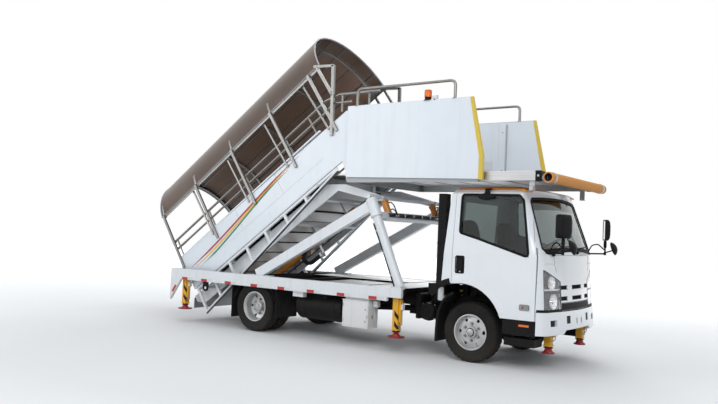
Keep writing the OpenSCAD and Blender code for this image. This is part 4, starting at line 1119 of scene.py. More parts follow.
def build_flight_panels():
    """Trims, joints, rivets and end posts of the upper side panels."""
    b = Build()
    for s in SIDES:
        y0, y1 = s * (PANEL_Y - 0.045), s * (PANEL_Y - 0.005)
        # Folded cap along the top edge of the panel
        cap = [(-0.905, 0.655), (-0.905, 0.676), (2.78, 0.676), (2.78, 0.655)]
        b.slab([slope_point(u, v, y0) for u, v in cap], (0, y1 - y0, 0), 0)
        # Raised edge of the lower band, and the rolled line under the top
        for v, h, t in ((0.246, 0.010, 0.0035), (0.612, 0.004, 0.0015), (0.018, 0.016, 0.0030)):
            face = PANEL_Y if v < 0.25 else PANEL_Y - 0.010
            q = [(-0.89, v), (-0.89, v + h), (2.60, v + h), (2.60, v)]
            b.slab([slope_point(u, w, s * face) for u, w in q], (0, s * t, 0), 0)
        # Panel joints
        for u in (0.62, 1.66):
            q = [(u, 0.262), (u, 0.652), (u + 0.0025, 0.652), (u + 0.0025, 0.262)]
            b.slab([slope_point(a, v, s * (PANEL_Y - 0.010)) for a, v in q], (0, s * 0.0006, 0), 1)
        # Rivets along the joints and the band
        for u in [-0.84 + 0.24 * k for k in range(15)]:
            for v in (0.030, 0.225):
                b.turn([(0.007, 0), (0.006, 0.002), (0.0, 0.003)],
                       track(slope_point(u, v, s * PANEL_Y), (0, s, 0)), 8, 0)
        # Rear end cap
        q = [(-0.906, -0.002), (-0.906, 0.672), (-0.896, 0.672), (-0.896, -0.002)]
        b.slab([slope_point(u, v, s * (PANEL_Y - 0.042)) for u, v in q], (0, s * 0.036, 0), 0)
    piece("panel_trim", b, "upper_flight", "white_paint", "White panel paint", "Rubber seal")


def build_handrails(settings):
    """Bent stainless rails of the upper flight that run level over the platform hinge."""
    b = Build()
    for s in SIDES:
        y = s * (PANEL_Y - 0.032)
        r = settings.rail_radius
        start = slope_point(-0.70, 0.85, y)
        upper = [start, slope_point(-0.97, 0.85, y), slope_point(-0.97, 1.0, y), slope_point(3.12, 1.0, y),
                 Vector((-2.36, y, 3.765)), Vector((-1.62, y, 3.765))]
        b.tube(rounded(upper, 0.075, 8), r, 14)
        lower = [start, slope_point(3.02, 0.85, y), Vector((-2.46, y, 3.640)), Vector((-2.13, y, 3.640))]
        b.tube(rounded(lower, 0.09, 8), r * 0.9, 14)
        for x, z in ((-1.62, 3.765), (-2.13, 3.640)):
            b.turn([(r * 1.02, -0.006), (r * 1.05, 0.0), (r * 0.8, 0.008), (0, 0.010)],
                   track((x, y, z), (1, 0, 0)), 14)
        for u in (-0.86, 0.08, 1.11, 2.14, 2.70):
            b.tube([slope_point(u, 0.672, y), slope_point(u, 1.0, y)], 0.015, 12)
            b.turn([(0.030, 0.0), (0.030, 0.004), (0.018, 0.006), (0.015, 0.012)],
                   track(slope_point(u, 0.676, y), slope_point(0, 1) - slope_point(0, 0)), 20)
        for x in (-2.30, -1.80):
            foot = 3.50 if x < -2.08 else 3.56
            b.tube([(x, y, foot), (x, y, 3.765)], 0.017, 12)
    # The level rail's front post stands on a bracket from the panel's end
    for s in SIDES:
        y = s * (PANEL_Y - 0.032)
        b.tube(rounded([(-1.80, y, 3.562), (-2.02, y, 3.47), (-2.09, y, 3.47)], 0.03), 0.014, 12)
        b.block((-2.125, y - 0.012, 3.44), (-2.083, y + 0.012, 3.50), 0.003)
    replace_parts(piece("handrail_bends", b, "upper_flight", "stainless", "Handrail steel"), "handrails")


def build_canopy():
    """Roof bars, visors, struts and trims of the canopy."""
    canopy_y, canopy_v, rise = 0.905, 1.560, 0.800
    bow_r = (canopy_y ** 2 + rise ** 2) / (2 * rise)
    bow_v = canopy_v + rise - bow_r
    half = math.asin(min(1.0, canopy_y / bow_r))

    def arch(u, a, r):
        return slope_point(u, bow_v + r * math.cos(a), r * math.sin(a))

    b = Build()
    # Longitudinal bars under the sheet
    for k in range(-3, 4):
        a = half * k / 4 * 1.02
        mid = [arch(u, a, bow_r + 0.012) for u in (-0.95, 3.27)]
        b.tube(mid, 0.010, 4, 0)
    # Rail caps with their groove, gussets and bolts at every post
    for s in SIDES:
        y = s * (canopy_y + 0.017)
        for v0, v1, proud in ((1.512, 1.586, 0.003), (1.512, 1.522, 0.007), (1.554, 1.586, 0.007)):
            q = [(-0.96, v0), (-0.96, v1), (3.28, v1), (3.28, v0)]
            b.slab([slope_point(u, w, y) for u, w in q], (0, s * proud, 0), 0)
        for u in (-0.93, 0.05, 1.08, 2.11):
            for v in (0.485, 0.530, 0.600, 1.545, 1.575):
                b.bolt(slope_point(u, v, s * (PANEL_Y + (0.022 if v < 1.5 else -0.008))), (0, s, 0), 0.008,
                       0.006, 1)
            g = [(u - 0.045, 1.50), (u + 0.045, 1.50), (u + 0.075, 1.585), (u - 0.075, 1.585)]
            b.slab([slope_point(p, v, s * (canopy_y + 0.020)) for p, v in g], (0, s * 0.005, 0), 0)
            # Strap that turns over the sheet's edge
            strap = [arch(u, s * (half - 0.02 - 0.035 * k), bow_r + 0.032) for k in range(7)]
            b.tube(strap, 0.020, 6, 0, up=(0, s, 0.3), flat=0.004)
    # Upright front posts with struts and short arms from the rails' ends
    for s in SIDES:
        y = s * (PANEL_Y + 0.004)
        for p, q, w in (((-2.474, 4.225), (-2.452, 3.13), 0.026), ((-2.800, 4.215), (-2.470, 3.76), 0.020),
                        ((-2.86, 4.235), (-2.465, 4.215), 0.020)):
            d = Vector((q[0] - p[0], 0, q[1] - p[1])).normalized()
            n = Vector((-d.z, 0, d.x)) * w
            a, c = Vector((p[0], y - s * 0.020, p[1])), Vector((q[0], y - s * 0.020, q[1]))
            b.slab([a - n, a + n, c + n, c - n], (0, s * 0.040, 0), 0)
        for x, z in ((-2.455, 3.16), (-2.456, 3.22), (-2.469, 3.78), (-2.474, 4.19), (-2.79, 4.20)):
            b.bolt((x, y + s * 0.020, z), (0, s, 0), 0.009, 0.006, 1)
        # Inner bars that lean in from the panel to the rail
        for u in (-0.04, 0.94, 1.94, 2.92):
            foot, head = slope_point(u + 0.03, 0.56, s * 0.958), slope_point(u - 0.06, 1.535, s * 0.890)
            b.tube([foot, head], 0.018, 4, 0)
            b.bolt(foot + Vector((0.0, s * 0.016, 0.03)), (0, s, 0), 0.007, 0.006, 1)
    piece("canopy_fittings", b, "upper_flight", "canopy_alu", "Canopy aluminium", "Zinc steel")

    b = Build()
    n = 40

    skin = bow_r + 0.0215
    thick = 0.004

    def hood(u0, u1):
        """Sheet visor over the arch, from u0 to u1."""
        turns = [-half + 2 * half * i / n for i in range(n + 1)]
        b.loft([[arch(u0, a, skin), arch(u1, a, skin), arch(u1, a, skin + thick), arch(u0, a, skin + thick)]
                for a in turns])

    hood(3.10, 3.32 - 0.002)
    hood(-0.80, -0.998)
    # Edge trims round both ends and along the eaves
    for u in (-0.995, 3.315):
        b.tube([arch(u, -half + 2 * half * i / 48, bow_r + 0.024) for i in range(49)], 0.013, 10, 1)
    for s in SIDES:
        b.tube([arch(u, s * half * 0.995, bow_r + 0.024) for u in (-0.99, 3.31)], 0.011, 8, 1)
    piece("canopy_trim", b, "upper_flight", "roof_sheet", "Visor cream", "Roof trim")


def build_lower_flight():
    """Roller tracks, energy chain and cylinder fittings of the lower flight."""
    b = Build()
    for s in SIDES:
        y = s * 0.950
        q = [(-0.86, -0.500), (-0.86, -0.518), (2.74, -0.086), (2.74, -0.068)]
        b.slab([slope_point(u, v, y) for u, v in q], (0, -s * 0.030, 0), 0)
        q = [(-0.84, -0.012), (-0.84, -0.004), (2.74, -0.004), (2.74, -0.012)]
        b.slab([slope_point(u, v, s * 0.952) for u, v in q], (0, -s * 0.045, 0), 0)
        for u in (-0.4, 0.5, 1.4, 2.3):
            b.bolt(slope_point(u, -0.030, s * 0.950), (0, s, 0), 0.008, 0.006, 1)
    piece("slide_tracks", b, "lower_flight", "black_frame", "Track steel", "Zinc steel")
    b = Build()
    # Energy chain: links round one bend, the upper run in a tray hung from the cross bars
    pts = [slope_point(2.28 - 0.06 * k, -0.535) for k in range(19)]
    for k in range(1, 9):
        w = PI * k / 9
        pts.append(slope_point(1.20 - 0.115 * math.sin(w), -0.650 + 0.115 * math.cos(w)))
    pts += [slope_point(1.20 + 0.06 * k, -0.765) for k in range(5)]
    for p, q in zip(pts, pts[1:]):
        d = q - p
        m = track(p.lerp(q, 0.5) + Vector((0, -0.40, 0)), d)
        b.block((-0.034, -0.024, -d.length * 0.47), (0.034, 0.024, d.length * 0.47), 0.004, 0, m)
    slope = Matrix.Rotation(-SLOPE, 4, "Y")

    def sloped(u, v, y, lo, hi, mat):
        b.block(lo, hi, 0.002, mat, Matrix.Translation(slope_point(u, v, y)) @ slope)

    sloped(1.34, -0.510, -0.40, (0, -0.040, 0), (0.98, 0.040, 0.005), 1)
    for y in (-0.442, -0.358):
        sloped(1.34, -0.515, y, (0, -0.002, -0.045), (0.98, 0.002, 0.010), 1)
    for u in (1.51, 2.20):
        sloped(u, -0.505, -0.40, (0, -0.025, 0), (0.006, 0.025, 0.246), 1)
    sloped(2.19, -0.260, 0, (0, -0.769, 0), (0.05, 0.769, 0.050), 2)
    # Driver arm that holds the lower run
    sloped(1.43, -0.800, -0.40, (0, -0.040, 0), (0.03, 0.040, 0.070), 1)
    sloped(1.44, -0.800, -0.352, (0, 0, 0), (0.04, 0.010, 0.545), 1)
    piece("energy_chain", b, "lower_flight", "black_plastic", "Black plastic", "Zinc steel",
          "White frame paint")
    b = Build()
    axis = slope_point(1, 0) - slope_point(0, 0)
    m = track(slope_point(2.15, -0.36), axis)
    b.turn([(0.0385, 0.0), (0.072, 0.0), (0.070, 0.012), (0.050, 0.018), (0.044, 0.030), (0.0385, 0.030)], m,
           36, 0, closed=True)
    b.turn([(0.0, 0.0), (0.066, 0.0), (0.066, 0.020), (0.0605, 0.022)],
           track(slope_point(-0.27, -0.36), axis), 36, 0)
    for u in (-0.18, 2.00):
        b.turn([(0, 0), (0.016, 0), (0.016, 0.020), (0, 0.022)],
               track(slope_point(u, -0.42), slope_point(0, -1) - slope_point(0, 0)), 6, 1)
    run = [slope_point(2.00, -0.445), slope_point(2.00, -0.470), slope_point(1.90, -0.478),
           slope_point(0.2, -0.478), slope_point(-0.18, -0.478), slope_point(-0.18, -0.442)]
    b.tube(rounded(run, 0.03), 0.008, 8, 2)
    for u in (0.3, 1.0, 1.7):
        m = Matrix.Translation(slope_point(u, -0.36)) @ Matrix.Rotation(PI / 2 - SLOPE, 4, "Y")
        b.turn([(0.0605, -0.012), (0.0640, -0.012), (0.0640, 0.012), (0.0605, 0.012)], m, 32, 1, closed=True)
        c = slope_point(u, -0.452)
        b.block(c - Vector((0.014, 0.014, 0.030)), c + Vector((0.014, 0.014, 0.036)), 0.003, 1)
    piece("slide_cylinder_fittings", b, "lower_flight", "orange_paint", "Orange paint", "Zinc steel",
          "Hose rubber")


STEP_RISE, STEP_GOING = 0.180, 0.257
# Nosings of the lowest step and of the landing
FIRST_X, LAND_X = -5.530, -2.790


def build_step_nosings():
    """Ribbed treads with dark anti-slip nosings on both flights."""
    first_z = SLOPE_FOOT[1] + (FIRST_X - SLOPE_FOOT[0]) * math.tan(SLOPE) - 0.035 / math.cos(SLOPE)
    lower = [(FIRST_X + k * STEP_GOING, first_z + k * STEP_RISE) for k in range(14)]
    lower = [(x, z) for x, z in lower if x < -2.7]
    upper = [(LAND_X - k * STEP_GOING, FLOOR_Z - k * STEP_RISE) for k in range(10)]
    for name, steps, half, body in (("lower", lower, 0.760, "lower_flight"),
                                    ("upper", upper, 0.900, "upper_flight")):
        b = Build()
        for x, z in steps:
            b.block((x - 0.0012, -half, z - 0.030), (x + 0.0450, half, z + 0.0030), 0.0015, 0)
            for k in range(7):
                xx = x + 0.060 + k * 0.026
                b.block((xx, -half, z - 0.001), (xx + 0.010, half, z + 0.0022), 0.0008, 1)
            # Return flange under the tread
            b.block((x + 0.010, -half, z - 0.034), (x + 0.016, half, z - 0.003), 0.001, 1)
        piece("step_treads_" + name, b, body, "step_alu", "Black plastic", "Tread aluminium")


# Pieces: platform

def build_platform(settings):
    """Edge strips, rails, beacon, floor frame and boarding edge of the platform."""
    b = Build()
    for s in SIDES:
        y0, y1 = s * (PLAT_Y - 0.043), s * (PLAT_Y + 0.0022)
        strip = [(-0.032, 3.531), (0.008, 3.533), (0.184, 2.742), (0.1845, 2.421), (0.124, 2.424),
                 (0.126, 2.739)]
        b.prism(strip, y0, y1)
    piece("platform_edge_strips", b, "platform", "yellow_paint", "Edge yellow")
    b = Build()
    for s in SIDES:
        y = s * (PLAT_Y - 0.020)
        r = 0.021
        path = [(-1.895, y, 3.528), (-1.895, y, 3.779), (-0.268, y, 3.779), (-0.268, y, 3.528)]
        b.tube(rounded(path, 0.085, 8), r, 16)
        for x in (-1.895, -0.268):
            b.turn([(0.040, 0), (0.040, 0.004), (0.026, 0.006), (0.022, 0.014)],
                   Matrix.Translation((x, y, 3.528)), 24)
    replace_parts(piece("platform_handrails", b, "platform", "stainless", "Handrail steel"), "platform_rails")
    b = Build()
    for s in SIDES:
        # Seam lines and hems of the side panels
        hem = [(-2.050, 2.477), (-2.050, 2.492), (0.128, 2.446), (0.126, 2.431)]
        b.prism(hem, s * PLAT_Y, s * (PLAT_Y + 0.0012), 0)
        b.prism([(-2.0515, 2.477), (-2.0515, 3.530), (-2.036, 3.530), (-2.036, 2.477)], s * (PLAT_Y - 0.041),
                s * (PLAT_Y + 0.0012), 0)
        b.block((-2.050, s * (PLAT_Y - 0.043), 3.526), (-0.030, s * (PLAT_Y + 0.0015), 3.534), 0.002, 0)
        for k in range(8):
            b.turn([(0.007, 0), (0.006, 0.002), (0, 0.003)],
                   track((-1.95 + 0.27 * k, s * PLAT_Y, 2.470 + 0.035), (0, s, 0)), 8, 0)
        # Post for the safety chain inside each panel, its foot and a bare plate beside it
        y = s * (PLAT_Y - 0.043)
        b.block((-0.590, y, FLOOR_Z + 0.004), (-0.470, y - s * 0.026, 3.490), 0.004, 0)
        b.block((-0.478, y, FLOOR_Z + 0.004), (-0.462, y - s * 0.034, 3.490), 0.003, 1)
        for z in (2.75, 3.36):
            b.bolt((-0.530, y - s * 0.026, z), (0, -s, 0), 0.009, 0.006, 1)
        b.block((-0.960, y, 2.760), (-0.700, y - s * 0.002, 2.900), 0.0008, 2)
    piece("platform_hems", b, "platform", "white_paint", "White panel paint", "Zinc steel", "White reflector")
    b = Build()
    at = Matrix.Translation((-0.690, -PLAT_Y + 0.020, 3.528))
    b.turn([(0.0, 0.0), (0.060, 0.0), (0.060, 0.006), (0.048, 0.010), (0.046, 0.045), (0.0, 0.045)],
           at, 36, 1)
    ribs = [(0.054, 0.046), (0.0545, 0.052)]
    for k in range(9):
        ribs += [(0.0535, 0.057 + k * 0.0085), (0.0520, 0.061 + k * 0.0085)]
    b.turn([(0.0, 0.045)] + ribs + [(0.050, 0.138), (0.044, 0.146), (0.022, 0.151), (0.0, 0.152)], at, 40, 0)
    # Work lamp beside it
    lamp = (-0.575, -PLAT_Y + 0.012, 3.566)
    b.turn([(0.0, -0.038), (0.026, -0.038), (0.034, -0.028), (0.036, 0.030), (0.030, 0.038), (0.0, 0.038)],
           track(lamp, (1, 0.1, -0.05)), 28, 2)
    b.block((-0.585, -PLAT_Y - 0.004, 3.522), (-0.565, -PLAT_Y + 0.028, 3.548), 0.003, 1)
    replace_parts(piece("beacon_and_lamp", b, "platform", "beacon_orange", "Beacon lens", "Black plastic",
                      "Box paint"), "beacon")
    b = Build()
    # Treaded floor and cross ribs under it
    for k in range(26):
        x = -2.02 + k * 0.082
        b.block((x, -1.04, FLOOR_Z - 0.0005), (x + 0.045, 1.04, FLOOR_Z + 0.0022), 0.001, 0)
    b.block((-2.048, -1.055, 2.402), (-1.990, 1.055, 2.412), 0.002, 0)
    piece("platform_floor_ribs", b, "platform", "platform_grey", "Platform grey")
    b = Build()
    w = 1.0147
    for s in SIDES:
        for z0, z1 in ((2.4115, 2.4250), (2.4480, 2.4560), (2.4780, 2.4860), (2.5160, 2.5340)):
            b.block((0.200, s * w, z0), (0.893, s * (w + 0.0035), z1), 0.001, 0)
        b.block((0.880, s * (w - 0.062), 2.4060), (0.9535, s * (w + 0.0075), 2.5385), 0.004, 1)
        b.bolt((0.92, s * (w + 0.0075), 2.472), (0, s, 0), 0.010, 0.006, 2)
        # Bracket that hangs below the end of each side profile
        b.block((0.778, s * 0.956, 2.275), (0.852, s * 0.962, 2.410), 0.002, 2)
        b.block((0.778, s * 0.956, 2.275), (0.852, s * 1.004, 2.281), 0.002, 2)
        b.block((0.790, s * 0.962, 2.285), (0.840, s * 0.998, 2.345), 0.004, 2)
    # Boarding edge: ribbed plate and rubber nose
    for k in range(16):
        b.block((0.235 + k * 0.042, -0.95, 2.5340), (0.262 + k * 0.042, 0.95, 2.5378), 0.001, 0)
    b.block((0.930, -0.96, 2.500), (0.9505, 0.96, 2.5375), 0.004, 1)
    # Underside sheets and cross channels
    for k in range(7):
        x = -1.70 + k * 0.42
        b.block((x, -0.93, 2.4960), (x + 0.05, 0.93, 2.5010), 0.002, 3)
    for y in (-0.62, -0.02, 0.58):
        b.block((-1.88, y, 2.4985), (0.94, y + 0.04, 2.5010), 0.001, 3)
    piece("extension_profiles", b, "extension", "platform_alu", "Platform aluminium", "Black plastic",
          "Zinc steel", "Platform grey")
    b = Build()
    at = track((1.069, 0, 2.447), (0, 1, 0))
    outer, inner, e = settings.bumper_radius, 0.052, 1.069
    b.turn([(inner, -e), (outer - 0.004, -e), (outer, -e + 0.004), (outer, e - 0.004), (outer - 0.004, e),
            (inner, e), (inner, e - 0.10), (0.0, e - 0.10), (0.0, -e + 0.10), (inner, -e + 0.10)],
           at, 48, 0, closed=True)
    for s in SIDES:
        b.turn([(0.0, 0.0), (inner - 0.0005, 0.0), (inner - 0.0005, 0.092), (inner - 0.004, 0.092),
                (inner - 0.004, 0.004), (0.0, 0.004)],
               track((1.069, s * (e - 0.098), 2.447), (0, s, 0)), 40, 1)
        b.block((0.9503, s * 0.905, 2.420), (1.030, s * 0.985, 2.474), 0.004, 2)
        b.turn([(outer + 0.0005, -0.030), (outer + 0.004, -0.030), (outer + 0.004, 0.030),
                (outer + 0.0005, 0.030)], track((1.069, s * 0.945, 2.447), (0, 1, 0)), 48, 2, closed=True)
    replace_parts(piece("boarding_bumper", b, "extension", "bumper_foam", "Bumper foam", "Tube dark",
                      "Zinc steel"), "bumper_tube")


# Pieces: cab

SCREEN = [(-0.830, 0.008), (-0.885, 0.070), (-0.812, 0.690), (-0.768, 0.735), (0.768, 0.735), (0.812, 0.690),
          (0.885, 0.070), (0.830, 0.008)]
WINDOW = [(-0.183, 1.718), (-0.185, 2.235), (0.640, 2.228), (0.700, 2.160), (0.815, 1.432), (0.103, 1.643)]


def front_patch(b, y0, y1, z0, z1, t0, t1, mat, cols=8):
    """Curved plate in the cab's front, from t0 to t1 inside the skin."""
    ring = ((z0, t0), (z1, t0), (z1, t1), (z0, t1))
    b.loft([[front_point(y0 + (y1 - y0) * k / cols, z, t) for z, t in ring] for k in range(cols + 1)], mat)


def build_cab_front():
    """Windscreen rubber, shade band, wipers, grille, seams and bumper fittings."""
    b = Build()
    outline = resample(rounded([Vector((y, h, 0)) for y, h in SCREEN], 0.035, 4, True), 0.05, True)
    up = (math.cos(SCREEN_TILT), 0, math.sin(SCREEN_TILT))
    b.tube([screen_point(p.x, p.y, 0.002) for p in outline], 0.021, 8, 0, True, up, 0.007)
    # Shade band along the top of the glass and the dark printed border
    def strip(rows, t0, t1, mat, cols=24):
        loop = [(h, half, t0) for h, half in rows] + [(h, half, t1) for h, half in rows[::-1]]
        b.loft([[screen_point(-half + 2 * half * k / cols, h, t) for h, half, t in loop]
                for k in range(cols + 1)], mat)

    strip([(0.585, 0.815), (0.690, 0.803), (0.722, 0.775)], 0.0165, 0.0178, 1)
    strip([(0.012, 0.828), (0.040, 0.850), (0.056, 0.862)], 0.0165, 0.0178, 2)
    piece("windscreen_surround", b, "truck", "black_plastic", "Rubber seal", "Tinted band", "Rubber seal")
    b = Build()
    # Wipers
    out = Vector((math.cos(SCREEN_TILT), 0, math.sin(SCREEN_TILT)))
    for pivot, elbow, ends in (((-0.700, -0.030), (-0.36, 0.060), ((-0.66, 0.036), (-0.06, 0.078))),
                               ((0.030, -0.022), (0.38, 0.060), ((0.08, 0.036), (0.68, 0.078)))):
        p = screen_point(*pivot, -0.014)
        q = screen_point(*elbow, -0.010)
        b.turn([(0.024, -0.02), (0.024, 0.006), (0.016, 0.014), (0, 0.016)], track(p, out), 20, 0)
        b.tube([p + out * 0.008, p.lerp(q, 0.4) + out * 0.014, q + out * 0.010], 0.007, 6, 0)
        blade = [screen_point(ends[0][0] + (ends[1][0] - ends[0][0]) * k / 8,
                              ends[0][1] + (ends[1][1] - ends[0][1]) * k / 8, -0.001) for k in range(9)]
        b.tube(blade, 0.004, 6, 1, up=out, flat=0.012)
        b.tube([v + out * 0.010 for v in blade[1:8]], 0.005, 6, 0)
        b.tube([blade[4] + out * 0.006, q + out * 0.012], 0.007, 6, 0)
    piece("wipers", b, "truck", "black_plastic", "Black plastic", "Rubber seal")
    b = Build()
    # Access panel seams under the screen
    def seam(points, t=0.0002, r=0.0022):
        path = [front_point(y, z, t) for y, z in points]
        b.tube(path, r, 6, 0)
    cols = 22
    seam([(-0.66 + 1.32 * k / cols, 1.472) for k in range(cols + 1)])
    seam([(-0.66, 1.472), (-0.655, 1.40), (-0.64, 1.33), (-0.615, 1.25)])
    seam([(0.66, 1.472), (0.655, 1.40), (0.64, 1.33), (0.615, 1.25)])
    seam([(-0.49 + 0.98 * k / cols, 0.862) for k in range(cols + 1)], r=0.003)
    for s in SIDES:
        # Air guide lip on the front corners
        lip = [front_point(s * (0.655 + 0.235 * k / 10), 1.352 + 0.012 * math.sin(PI * k / 10), -0.001)
               for k in range(11)]
        b.tube(lip, 0.006, 6, 2, up=(1, 0, 0), flat=0.010)
    # Dark plate behind the grille slots, painted shade inside the openings, with thin bars
    pitch = 0.03
    for z in (0.895, 1.036):
        for y0, y1 in ((-0.530, -0.330), (-0.180, 0.180), (0.330, 0.530)):
            front_patch(b, y0, y1, z, z + 0.040, 0.008, 0.014, 1)
            # Dark bezel above and below the slot
            for zz in (z - 0.007, z + 0.040):
                front_patch(b, y0 - 0.004, y1 + 0.004, zz, zz + 0.007, -0.0012, 0.004, 1)
            for j in range(int((y1 - y0) / pitch)):
                yy = y0 + pitch / 2 + j * pitch
                b.tube([front_point(yy, z, 0.006), front_point(yy, z + 0.040, 0.006)], 0.004, 4, 1)
    piece("front_seams", b, "truck", "cab_paint", "Rubber seal", "Black plastic", "Cab paint")
    b = Build()
    # Black lower grille between the lamps
    n = 28
    rows = [(0.7645, 0.002), (0.770, 0.010), (0.784, 0.010), (0.788, 0.003), (0.800, 0.003), (0.804, 0.010),
            (0.818, 0.010), (0.822, 0.003), (0.834, 0.003), (0.838, 0.008), (0.850, 0.006), (0.856, 0.0015),
            (0.856, -0.004), (0.7645, -0.004)]
    b.loft([[front_point(-0.505 + 1.01 * i / n, z, -proud) for z, proud in rows] for i in range(n + 1)])
    piece("lower_grille", b, "truck", "black_plastic", "Black plastic")
    b = Build()
    # Dark patches that paint the shade inside the inlets and the fog lamp recesses, bare plate slots, and a
    # dark band over the bumper that paints the shade of its gap to the cab
    for s in SIDES:
        front_patch(b, s * 0.295, s * 0.410, 0.590, 0.690, BUMPER_T + 0.004, BUMPER_T + 0.010, 0)
        front_patch(b, s * 0.705, s * 0.815, 0.572, 0.650, BUMPER_T + 0.012, BUMPER_T + 0.018, 0)
        front_patch(b, s * 0.505, s * 0.978, 0.752, 0.784, -0.004, 0.004, 0, 16)
        front_patch(b, s * 0.073, s * 0.097, 0.577, 0.648, BUMPER_T - 0.0008, BUMPER_T + 0.004, 0)
        for z in (0.563, 0.672):
            b.turn([(0.0, -0.004), (0.006, -0.004), (0.006, 0.0008), (0.0, 0.0008)],
                   track(front_point(s * 0.085, z, BUMPER_T), (1, 0, 0)), 12, 0)
    piece("bumper_fittings", b, "truck", "black_plastic", "Black plastic")


def build_lamps():
    """Head lamps: grey housing, chrome bowls, bulbs, divider and clear lens."""
    b = Build()
    foot, top_in, top_out = 0.764, 1.133, 1.280

    def inner_edge(z):
        return 0.512 if z <= top_in else 0.512 + (z - top_in) / (top_out - top_in) * 0.366

    def outer_edge(z):
        return 0.911 - max(z - 0.752, 0) / 0.53 * 0.007

    zs = [foot + (top_in - foot) * k / 8 for k in range(9)]
    zs += [top_in + (top_out - top_in) * k / 6 for k in range(1, 7)]
    cols = 12

    def sheet(s, t0, t1, mat):
        def row(z, t):
            a, c = inner_edge(z), outer_edge(z)
            return [front_point(s * (a + (c - a) * k / cols), z, t) for k in range(cols + 1)]
        b.loft([row(z, t0) + row(z, t1)[::-1] for z in zs], mat)

    for s in SIDES:
        sheet(s, 0.002, 0.005, 1)
        sheet(s, 0.034, 0.042, 0)
        # Rim of the housing
        rim = [(inner_edge(z) + 0.006, z) for z in zs] + [(outer_edge(z) - 0.006, z) for z in zs[::-1]]
        b.tube([front_point(s * y, z, 0.006) for y, z in rim], 0.007, 8, 0, True, (1, 0, 0.05), 0.010)
        # Divider with a bright shelf over it
        divider = 0.996
        across = [s * (0.518 + 0.385 * k / 10) for k in range(11)]
        b.tube([front_point(y, divider, 0.010) for y in across], 0.012, 8, 0, up=(1, 0, 0), flat=0.014)
        b.tube([front_point(y, divider + 0.022, 0.012) for y in across], 0.006, 6, 4, up=(1, 0, 0),
               flat=0.010)
        # Ribbed strip of the turn lamp above the divider
        for k in range(14):
            yy = s * (0.535 + 0.026 * k)
            b.tube([front_point(yy, 1.014, 0.020), front_point(yy, 1.040, 0.020)], 0.009, 6, 2)
        for y, z, r in ((0.715, 1.115, 0.092), (0.690, 0.880, 0.100)):
            c = front_point(s * y, z, 0.034)
            n = Vector((1, s * 0.12, 0.05)).normalized()
            bowl = [(0.0, 0.000), (r * 0.35, 0.001), (r * 0.7, 0.007), (r * 0.95, 0.018), (r, 0.024),
                    (r * 1.04, 0.020), (r * 0.8, 0.002), (0.0, -0.004)]
            b.turn(bowl, track(c, n), 36, 2)
            b.turn([(0.016, 0.002), (0.016, 0.012), (0.011, 0.022), (0.0, 0.025)], track(c, n), 18, 4)
        b.turn([(0.018, 0.002), (0.018, 0.014), (0.012, 0.024), (0.0, 0.027)],
               track(front_point(s * 0.790, 1.120, 0.030), (1, s * 0.12, 0.05)), 18, 3)
    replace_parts(piece("head_lamps", b, "truck", "lamp_clear", "Lamp housing", "Lamp lens", "Reflector chrome",
                      "Amber lens", "Reflector chrome"), "lamps")


def arch_strip(b, a0, a1, r0, r1, side, y_low, proud, mat, n=26):
    """Raised flare along the wheel arch between two angles, in degrees."""
    form = ((r0, proud), (r0 + 0.012, proud), (r1 - 0.020, proud * 0.8), (r1, 0.0), (r1, -y_low),
            (r0, -y_low))
    turns = [math.radians(a0 + (a1 - a0) * i / n) for i in range(n + 1)]
    b.loft([[(ARCH[0] + r * math.cos(w), side * (CAB_Y + out), ARCH[1] + r * math.sin(w)) for r, out in form]
            for w in turns], mat)


